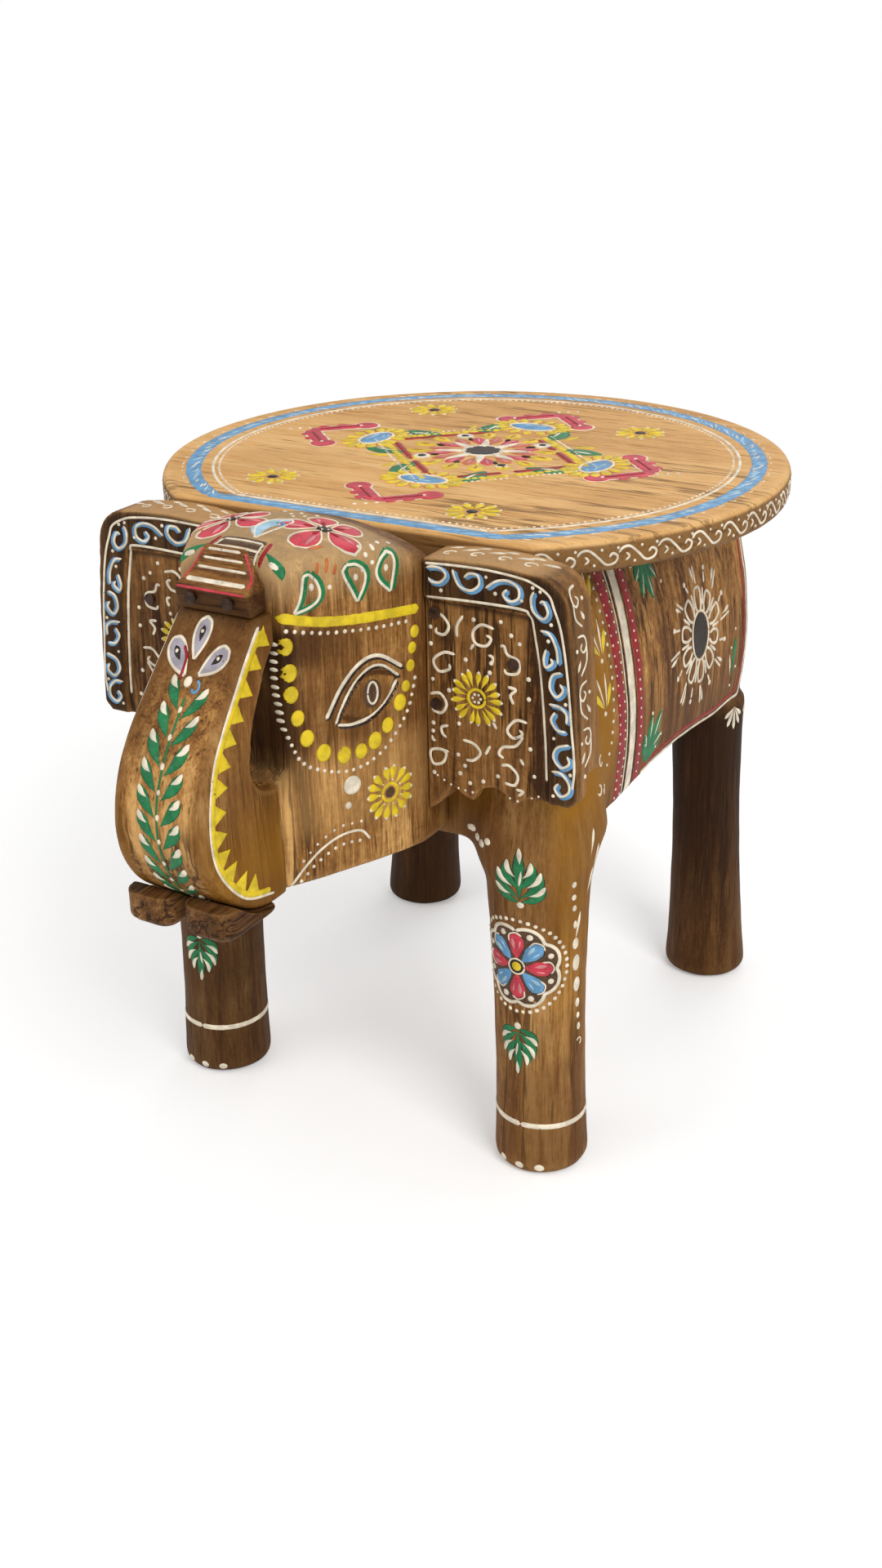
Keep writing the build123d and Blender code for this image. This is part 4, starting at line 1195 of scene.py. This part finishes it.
# the stripes of the brow run on up the forehead, edged in red
for y, half in ((-148.4, 12.6), (-145.0, 12.0), (-141.4, 11.4), (-138.0, 10.8)):
    brush.stroke("brown", ((-half, y), (half, y)), 3.8, ridge=0.06)
for y, half in ((-149.4, 11.6), (-144.2, 10.8), (-138.6, 9.6)):
    brush.stroke("cream", ((-half, y), (half, y)), 1.3, lift=0.06)
for side in (1, -1):
    brush.stroke("cream", ((side * 11.6, -149.4), (side * 9.6, -138.6)), 1.1, lift=0.06)
    brush.stroke("red", ((side * 14.2, -149), (side * 12.2, -136.5)), 2.2, ridge=0.16)
brush.drop("sky", "cream", (3.0, -135.0), (5.5, -112.0), 10.5, bend=0.12, belly=0.6, line=1.2)
brush.curl("blue", (4.4, -119.5), 2.6, -60, 250, 1.3, lift=0.2)
brush.dots("cream", ((2.5, -106.5), (-0.8, -103), (5.6, -102.6), (1, -98)), 1.0)
brush.dry()


# ---- Brow
# A small stepped block nailed over the root of the trunk. Its steps are lined in cream and its
# ledge and slopes are edged in pink; the wood is stained dark, and below the ledge painted shade takes it
# nearly to black.
brow_dark = (0.035, 0.012, 0.004)
brow_brown = (0.135, 0.052, 0.015)
brow = carved("brow", ("brow_block",), grain_size=0.0007, depth=0.0003, seed=8.0)
block = Wood("brow wood", brow_dark, brow_brown, body_middle, "x", seed=2.1, stain=0.4)
# painted shade: below the ledge the wood is taken nearly to black
block.wash(block.axis("Z").between(0.3035, 0.3020) * 0.7, brow_dark)
brow.data.materials.append(block.done())
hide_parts("brow_block")
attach(brow, "root")

brush = Brush("brow_paint", brow, "head_wood")
brush.canvas = end_canvas(-260, 1)
for z, half, width in ((316.4, 8.0, 1.2), (312.9, 9.8, 1.1), (309.2, 12.0, 1.2), (305.4, 14.4, 1.3)):
    brush.stroke("cream", ((-half, z), (half, z)), width)
brush.stroke("pink", ((-16.6, 303.0), (16.6, 303.0)), 0.9)
for side in (1, -1):
    brush.stroke("pink", ((side * 9.8, 316.6), (side * 16.2, 304.8)), 0.9)
brush.dry()


# ---- Trunk
# Sawn from a thick board to the curve of a trunk that bulges in front and curls under at its
# foot, then rasped round. A vine climbs its front and yellow points line its sides.
trunk_line = (
    (15, 280), (24, 272), (36, 262), (50, 250), (60, 240), (71, 230),
    (81, 220), (91, 210), (101, 200), (113, 190), (128, 180),
)


def set_back(places):
    """The trunk moved back by the thickness of its paint."""
    return places + np.array((0, 0.0004, 0))


trunk = carved("trunk", ("trunk",), grain_size=0.0010, rounds=6, seed=9.0, cut=set_back)
trunk_timber = Wood("trunk wood", body_dark, body_middle, body_light, seed=1.9, stain=0.55)
trunk_z, trunk_x = trunk_timber.axis("Z"), abs(trunk_timber.axis("X"))
# painted shade: the top of the trunk darkened under the brow, darkest right beneath it
trunk_timber.wash(trunk_z.between(0.262, 0.284) * 0.6, leg_brown)
trunk_timber.wash(trunk_z.between(0.286, 0.294) * 0.6, shade_brown)
trunk_timber.wash(trunk_x.between(0.0150, 0.0185) * 0.45, leg_brown)
trunk_timber.wash(trunk_x.between(0.014, 0.018) * trunk_z.between(0.235, 0.190) * 0.6, ochre)
trunk_timber.wash(trunk_z.between(0.193, 0.176) * 0.45, leg_brown)
trunk.data.materials.append(trunk_timber.done())
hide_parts("trunk")
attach(trunk, "root")


def trunk_canvas(x, s):
    """Down the trunk's front: x and the length run from its root."""
    runs, heights = zip(*trunk_line)
    return Vector((x, -260, float(np.interp(s, runs, heights)))) / 1000, Vector((0, 1, 0))


brush = Brush("trunk_paint", trunk, "head_wood")
brush.canvas = trunk_canvas
for k in range(10):
    s = 33 + k * 10.4
    size = 1.0 - 0.03 * abs(k - 4)
    for hand, rise, reach in ((-1, 0.0, 9.0), (1, 3.0, 10.0)):
        foot, tip = (hand * 1.2, s + rise + 4.5), (hand * (reach + 0.6) * size, s + rise - 8.5)
        brush.leaf("umber", foot, tip, 6.8 * size, 0.62, bend=hand * 0.06, ridge=0.06)
        brush.leaf("green", foot, tip, 5.9 * size, 0.62, bend=hand * 0.06, lift=0.05)
        inner = (hand * (reach * 0.46 + 0.9) * size, s + rise - 3.4)
        brush.leaf("cream", inner, tip, 3.1, 0.62, bend=hand * 0.14, lift=0.24)
    brush.dot("cream", 0, s + 4, 1.0, tall=1.6)
brush.stroke("green", [(0.4 * math.sin(k), 32 + k * 9.8) for k in range(11)], 1.1)
brush.canvas = end_canvas(-260, 1)
for foot, tip, width in (
    ((-4, 271.5), (-15.5, 282.5), 7.4), ((-2.6, 277), (-3.6, 291), 7.0), ((2.0, 272.5), (12.0, 281.8), 7.4),
):
    brush.drop("lavender", "cream", foot, tip, width, belly=0.66, line=1.2)
    brush.leaf("umber", part_way(foot, tip, 0.4), part_way(foot, tip, 0.8), width * 0.4, 0.6, lift=0.1)
    brush.dot("cream", *part_way(foot, tip, 0.65), 0.8, lift=0.4)
brush.stroke("red", ((-5.4, 270), (-6.0, 277), (-9, 281)), 1.3, lift=0.25)
brush.curl("blue", (2.6, 268.4), 2.4, 90, -260, 1.1)
brush.dot("cream", -1.4, 270.0, 2.1, lift=0.1)
for side in (1, -1):
    brush.canvas = side_canvas(side)
    edge = (
        (-159, 290), (-165.4, 283.0), (-178.4, 268.0), (-189.0, 255.4), (-198.6, 239.8), (-203.4, 217),
        (-200, 199.6),
        (-185.4, 182.8), (-165.6, 176.4),
    )
    brush.stroke("cream", edge, 1.3)
    run = even(edge)
    inward = []
    for k in range(len(run)):
        way = run[min(k + 3, len(run) - 1)] - run[max(k - 3, 0)]
        inward.append(np.array((-way[1], way[0])) / math.hypot(*way))
    brush.stroke("yellow", [run[k] + 1.8 * inward[k] for k in range(1, len(run) - 2, 4)], 2.8)
    for k in range(4, len(run) - 6, 11):
        base = run[k] + 2.2 * inward[k]
        tip = base + 8.2 * inward[k]
        brush.stroke("yellow", (base, tip), lambda share: 10.4 * (1 - share) + 0.3, ridge=0.22, square=True)
brush.dry()


# ---- Ears
# Flat boards with a scalloped foot, a raised border and a sunk field, nailed to the front of the
# body. The field is stained brown and the border nearly black, with scrolls drawn all over both.
ear_low, ear_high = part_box("ear_left")
field_dark = (0.045, 0.016, 0.004)
field_brown = (0.225, 0.100, 0.027)
field_light = (0.44, 0.22, 0.070)
ear_top_brown = (0.52, 0.30, 0.125)
border_black = (0.018, 0.008, 0.003)

field_curls = (
    ((54.3, 276.8), (59.3, 278.6), (63.4, 274.3), (61.4, 270), (57.3, 270.3), (57.6, 272.6)),
    ((70.4, 279.8), (67.4, 274.9), (67.4, 269.6)),
    ((85, 276.1), (79, 277), (75, 273.3), (76, 268.6), (81, 268), (83.5, 271.5), (81, 272.9)),
    ((73.5, 265.1), (75.5, 268.1)),
    ((87.6, 269), (89.6, 269.3), (91.1, 265.9), (96.1, 264), (96.1, 258.7), (91.1, 257.5), (89.6, 259.5)),
    ((66.4, 261.9), (60.9, 261.9), (55.8, 257.7), (58.3, 253.1), (63.4, 254.8), (63.4, 257.4)),
    ((82, 264.2), (84.2, 263.6), (83.8, 260.4)),
    ((53.6, 242), (58.8, 243), (61.9, 238.6), (59.3, 234.2), (55.3, 235), (55.6, 236.8)),
    ((100.7, 237.2), (95.1, 237.3), (91.1, 232.2), (94.1, 229.1), (98.2, 231.5), (96.6, 233.5)),
    ((98.7, 230.7), (95.1, 225.7), (89.1, 224), (87.1, 220.6), (89.6, 218.9)),
    ((69.4, 223.7), (75, 222.8), (78.2, 219.2), (75, 215.2), (70.9, 214.6)),
    ((62.9, 229), (59.3, 227.6), (59.8, 224.5), (61.9, 223.1)),
    ((54.4, 223.1), (55.0, 221), (56.4, 220.8)),
    (
        (62.9, 216.6), (57.8, 217.1), (54.0, 215.9), (53.6, 212.6), (55.4, 209.6), (59.8, 211.2),
        (61.4, 215.4), (59.8, 217),
    ),
    ((88.1, 215.4), (92.1, 216), (96.1, 212.1), (94.6, 207.5), (89.6, 207.6)),
    ((91.1, 251.7), (95.1, 251), (92.6, 248), (94.1, 244.2)),
    ((83, 223.5), (80.5, 218.7)),
    ((97.1, 220.3), (99.2, 217.4)),
    ((84, 234.7), (86.1, 231.5)),
    ((95.1, 205.6), (98.7, 205.2), (96.1, 202.6)),
)
field_dots = (
    (54.6, 272.3), (54.6, 264.9), (88.1, 279.7), (92.9, 274.5), (96.8, 271.4), (71.4, 260.4), (55.3, 249),
    (83.5, 260.8), (82.8, 256.5), (101, 256.7), (101.2, 247.9), (55.3, 228.9), (67.9, 230.8), (55.0, 225.1),
    (102, 225.6), (67.4, 216.3), (70.6, 211.7), (79.5, 206.1), (86.6, 210), (55.3, 205.6), (73, 204),
    (68.2, 207.7), (63.2, 245.2), (75.3, 278.7), (104.0, 213.4),
)
border_scrolls = (
    (
        (54.0, 298.6), (56.8, 299.6), (61.4, 299.2), (63.4, 296.5), (60.4, 293.2), (56.3, 293.2),
        (55.3, 294.8),
    ),
    (
        (66.7, 299.8), (67.4, 297.1), (69.9, 293), (75, 291.8), (79, 294.8), (78.5, 298.6), (74.5, 299),
        (71.9, 296.8),
    ),
    (
        (82, 293.9), (87.1, 297.6), (92.6, 298.4), (97.1, 296.1), (97.1, 291.7), (93.1, 289.9),
        (90.1, 292.4), (92.1, 294.9),
    ),
    (
        (104.2, 295.8), (102.9, 292.5), (103.9, 287.4), (108.2, 284.6), (110.6, 287.5), (108.6, 292),
        (106.7, 291.2),
    ),
    ((107.0, 279.7), (111.3, 278.7), (114.4, 273), (115.3, 266.4)),
    ((109.9, 272.2), (108.8, 267.5), (109.9, 264.2), (112.8, 266.5), (111.8, 268.5)),
    ((116.8, 263.0), (112.8, 261.1), (111.8, 255.7), (114.8, 252.1), (117.8, 255.3), (116.3, 258.1)),
    ((111.3, 248.5), (116.3, 247.9), (119.4, 245.3), (119.6, 240.9)),
    ((114.3, 245.4), (112.5, 241.5), (115.3, 237.6), (119.3, 237.3)),
    ((120.9, 231.8), (115.3, 229.6), (113.8, 224.9), (117.3, 221), (121.0, 223.4), (120.0, 226.8)),
    (
        (112.8, 218.5), (117.3, 218.3), (120.9, 214.5), (120.9, 210.2), (117.3, 207.9), (114.5, 210.9),
        (116.3, 213.6),
    ),
)
border_dots = (
    (82.3, 298.6), (98.6, 291), (103.6, 297.2), (112.0, 282.8), (110.8, 275.6), (119.0, 249.5),
    (113.8, 233.5),
    (121.6, 218.4), (113.8, 207.4), (61.0, 289.8), (86.5, 292.2), (107.0, 296.0),
)
outer_line = (
    (53.4, 300.6), (66, 301.4), (83.5, 301.6), (98, 300.4), (104.7, 298.6), (110.9, 295.0), (113.2, 290),
    (116.6, 280.0),
    (119.6, 261.6), (121.8, 239.5), (123.3, 222), (122.6, 211.6),
)
inner_line = (
    (53.4, 286.0), (76.6, 287.2), (98.2, 287.3), (102.0, 285.0), (104.1, 276), (106.8, 259), (109, 232.4),
    (109.9, 212.4),
)
foot_line = ((57, 204.5), (66, 200.6), (77, 200.0), (88, 201.6), (97, 200.4), (106, 204.5))
daisy_middle = (76.5, 243.8)


def ear_canvas(side):
    """Seen from the front: how far out to the side, and z."""
    return lambda x, z: (Vector((side * x, -260, z)) / 1000, Vector((0, 1, 0)))


for side, hand in ((1, "left"), (-1, "right")):
    ear = carved("ear_" + hand, ("ear_" + hand,), grain_size=0.0009, depth=0.0003, seed=3.0 + side)
    bark = Wood("ear wood " + hand, field_dark, field_brown, field_light, seed=3.1 + side, stain=0.3)
    bark.wash(bark.axis("Z").between(ear_high.z - 0.0035, ear_high.z - 0.0015) * 0.8, ear_top_brown)
    bark.wash(bark.axis("Y").between(-0.0840, -0.0815) * 0.3, field_light)
    bark.wash(bark.axis("Y").between(-0.0862, -0.0868) * 0.75, border_black)
    ear.data.materials.append(bark.done())
    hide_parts("ear_" + hand)
    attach(ear, "root")

    brush = Brush("ear_paint_" + hand, ear, "ear_wood")
    brush.canvas = ear_canvas(side)
    brush.stroke("cream", outer_line, 1.2)
    brush.stroke("cream", inner_line, 1.3)
    for curl in border_scrolls:
        brush.stroke("blue", [(x + 0.9, z - 0.5) for x, z in curl], 2.6, ridge=0.16)
        brush.stroke("cream", curl, 1.25, lift=0.14)
    brush.dots("cream", border_dots, 0.95)
    for curl in field_curls:
        brush.stroke("cream", curl, 1.5)
    brush.dots("cream", field_dots, 1.15)
    brush.daisy("yellow", daisy_middle, 4.6, 12.8, 17, 2.9, "cream")
    brush.ring("yellow", daisy_middle, 4.0, 1.5)
    brush.dots("cream", [brush.around(daisy_middle, 1.9, k * 60) for k in range(6)], 0.8)
    brush.row("cream", foot_line, 3.6, 0.7)

    # sprays down the ear's outer edge, curls and leaves along its top
    brush.canvas = side_canvas(side)
    for z, lean in ((290, -1), (270, 1), (250, -1), (230, 1)):
        at = lambda across, rise: (-78 + across * lean, z + rise)
        spray = (at(-3, 7), at(2.6, 6), at(4.2, 2), at(1.6, -0.6), at(-1.0, 1.6), at(0.8, 3.6))
        brush.stroke("cream", spray, 1.1)
        brush.stroke("cream", (at(4.2, 2), at(3.4, -5), at(-2.2, -10)), 1.1)
        brush.leaf("cream", at(-1.5, -3), at(-4.6, -7.5), 2.0, 0.6)
        brush.dot("cream", *at(-4.4, 1.5), 1.0)
    brush.dots("cream", ((-80, 216), (-76, 211)), 1.1)
    brush.canvas = lambda x, y: (Vector((side * x, y, 360)) / 1000, Vector((0, 0, -1)))
    for x in (60, 73, 86, 98):
        brush.curl("cream", (x, -78.0), 3.2, 20, 300, 1.1)
        brush.leaf("cream", (x + 3.5, -74.0), (x + 11, -71.5), 2.2, 0.6)
        brush.leaf("cream", (x - 4, -70.5), (x + 3, -69.0), 1.8, 0.6)
    brush.dry()


# ---- Tusks
# Short round pegs of the same wood, coped to the trunk and left bare, dark with handling.
tusk_dark = (0.050, 0.019, 0.005)
tusk_brown = (0.175, 0.074, 0.021)
tusk_light = (0.36, 0.18, 0.060)
for side, hand in ((1, "left"), (-1, "right")):
    tusk = carved("tusk_" + hand, ("tusk_" + hand,), grain_size=0.0006, rounds=6, hollow_size=0.01, seed=5.0)
    peg = Wood("tusk wood " + hand, tusk_dark, tusk_brown, tusk_light, "y", seed=4.0 + side)
    tusk.data.materials.append(peg.done())
    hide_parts("tusk_" + hand)
    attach(tusk, "root")


# ---- Nails and dowels
# Wire nails punched below the surface, browned with rust, and plain beech dowels that are only
# seen when the stool is taken apart.
rust = Finish("aged nail")
place = rust.add("TexCoord").part("Object")
scale = rust.noise(place, 900.0, 4.0, 0.65)
spots = rust.noise(place, 260.0, 3.0, 0.6)
bare = rust.blend(scale, (0.016, 0.009, 0.005), (0.046, 0.027, 0.016))
rusted = rust.blend(spots.between(0.36, 0.56), bare, (0.046, 0.015, 0.005))
pits = rust.add("Bump", None, {"Strength": 0.5, "Distance": 0.0002, "Height": scale})
shiny = spots.between(0.58, 0.42) * 0.5
rust.coat(Base_Color=rusted, Metallic=shiny, Roughness=scale * 0.3 + 0.4, Normal=pits)
beech_dark = (0.36, 0.21, 0.10)
beech_brown = (0.52, 0.34, 0.18)
beech_light = (0.66, 0.47, 0.28)
beech = Wood("dowel wood", beech_dark, beech_brown, beech_light, seed=6.0, stain=0.2).done()
for name in ("ear_nails", "brow_nails", "leg_nails"):
    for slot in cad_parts[name].material_slots:
        slot.material = rust.holder
for name in ("seat_dowels", "head_dowels", "trunk_dowels", "tusk_dowels"):
    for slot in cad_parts[name].material_slots:
        slot.material = beech
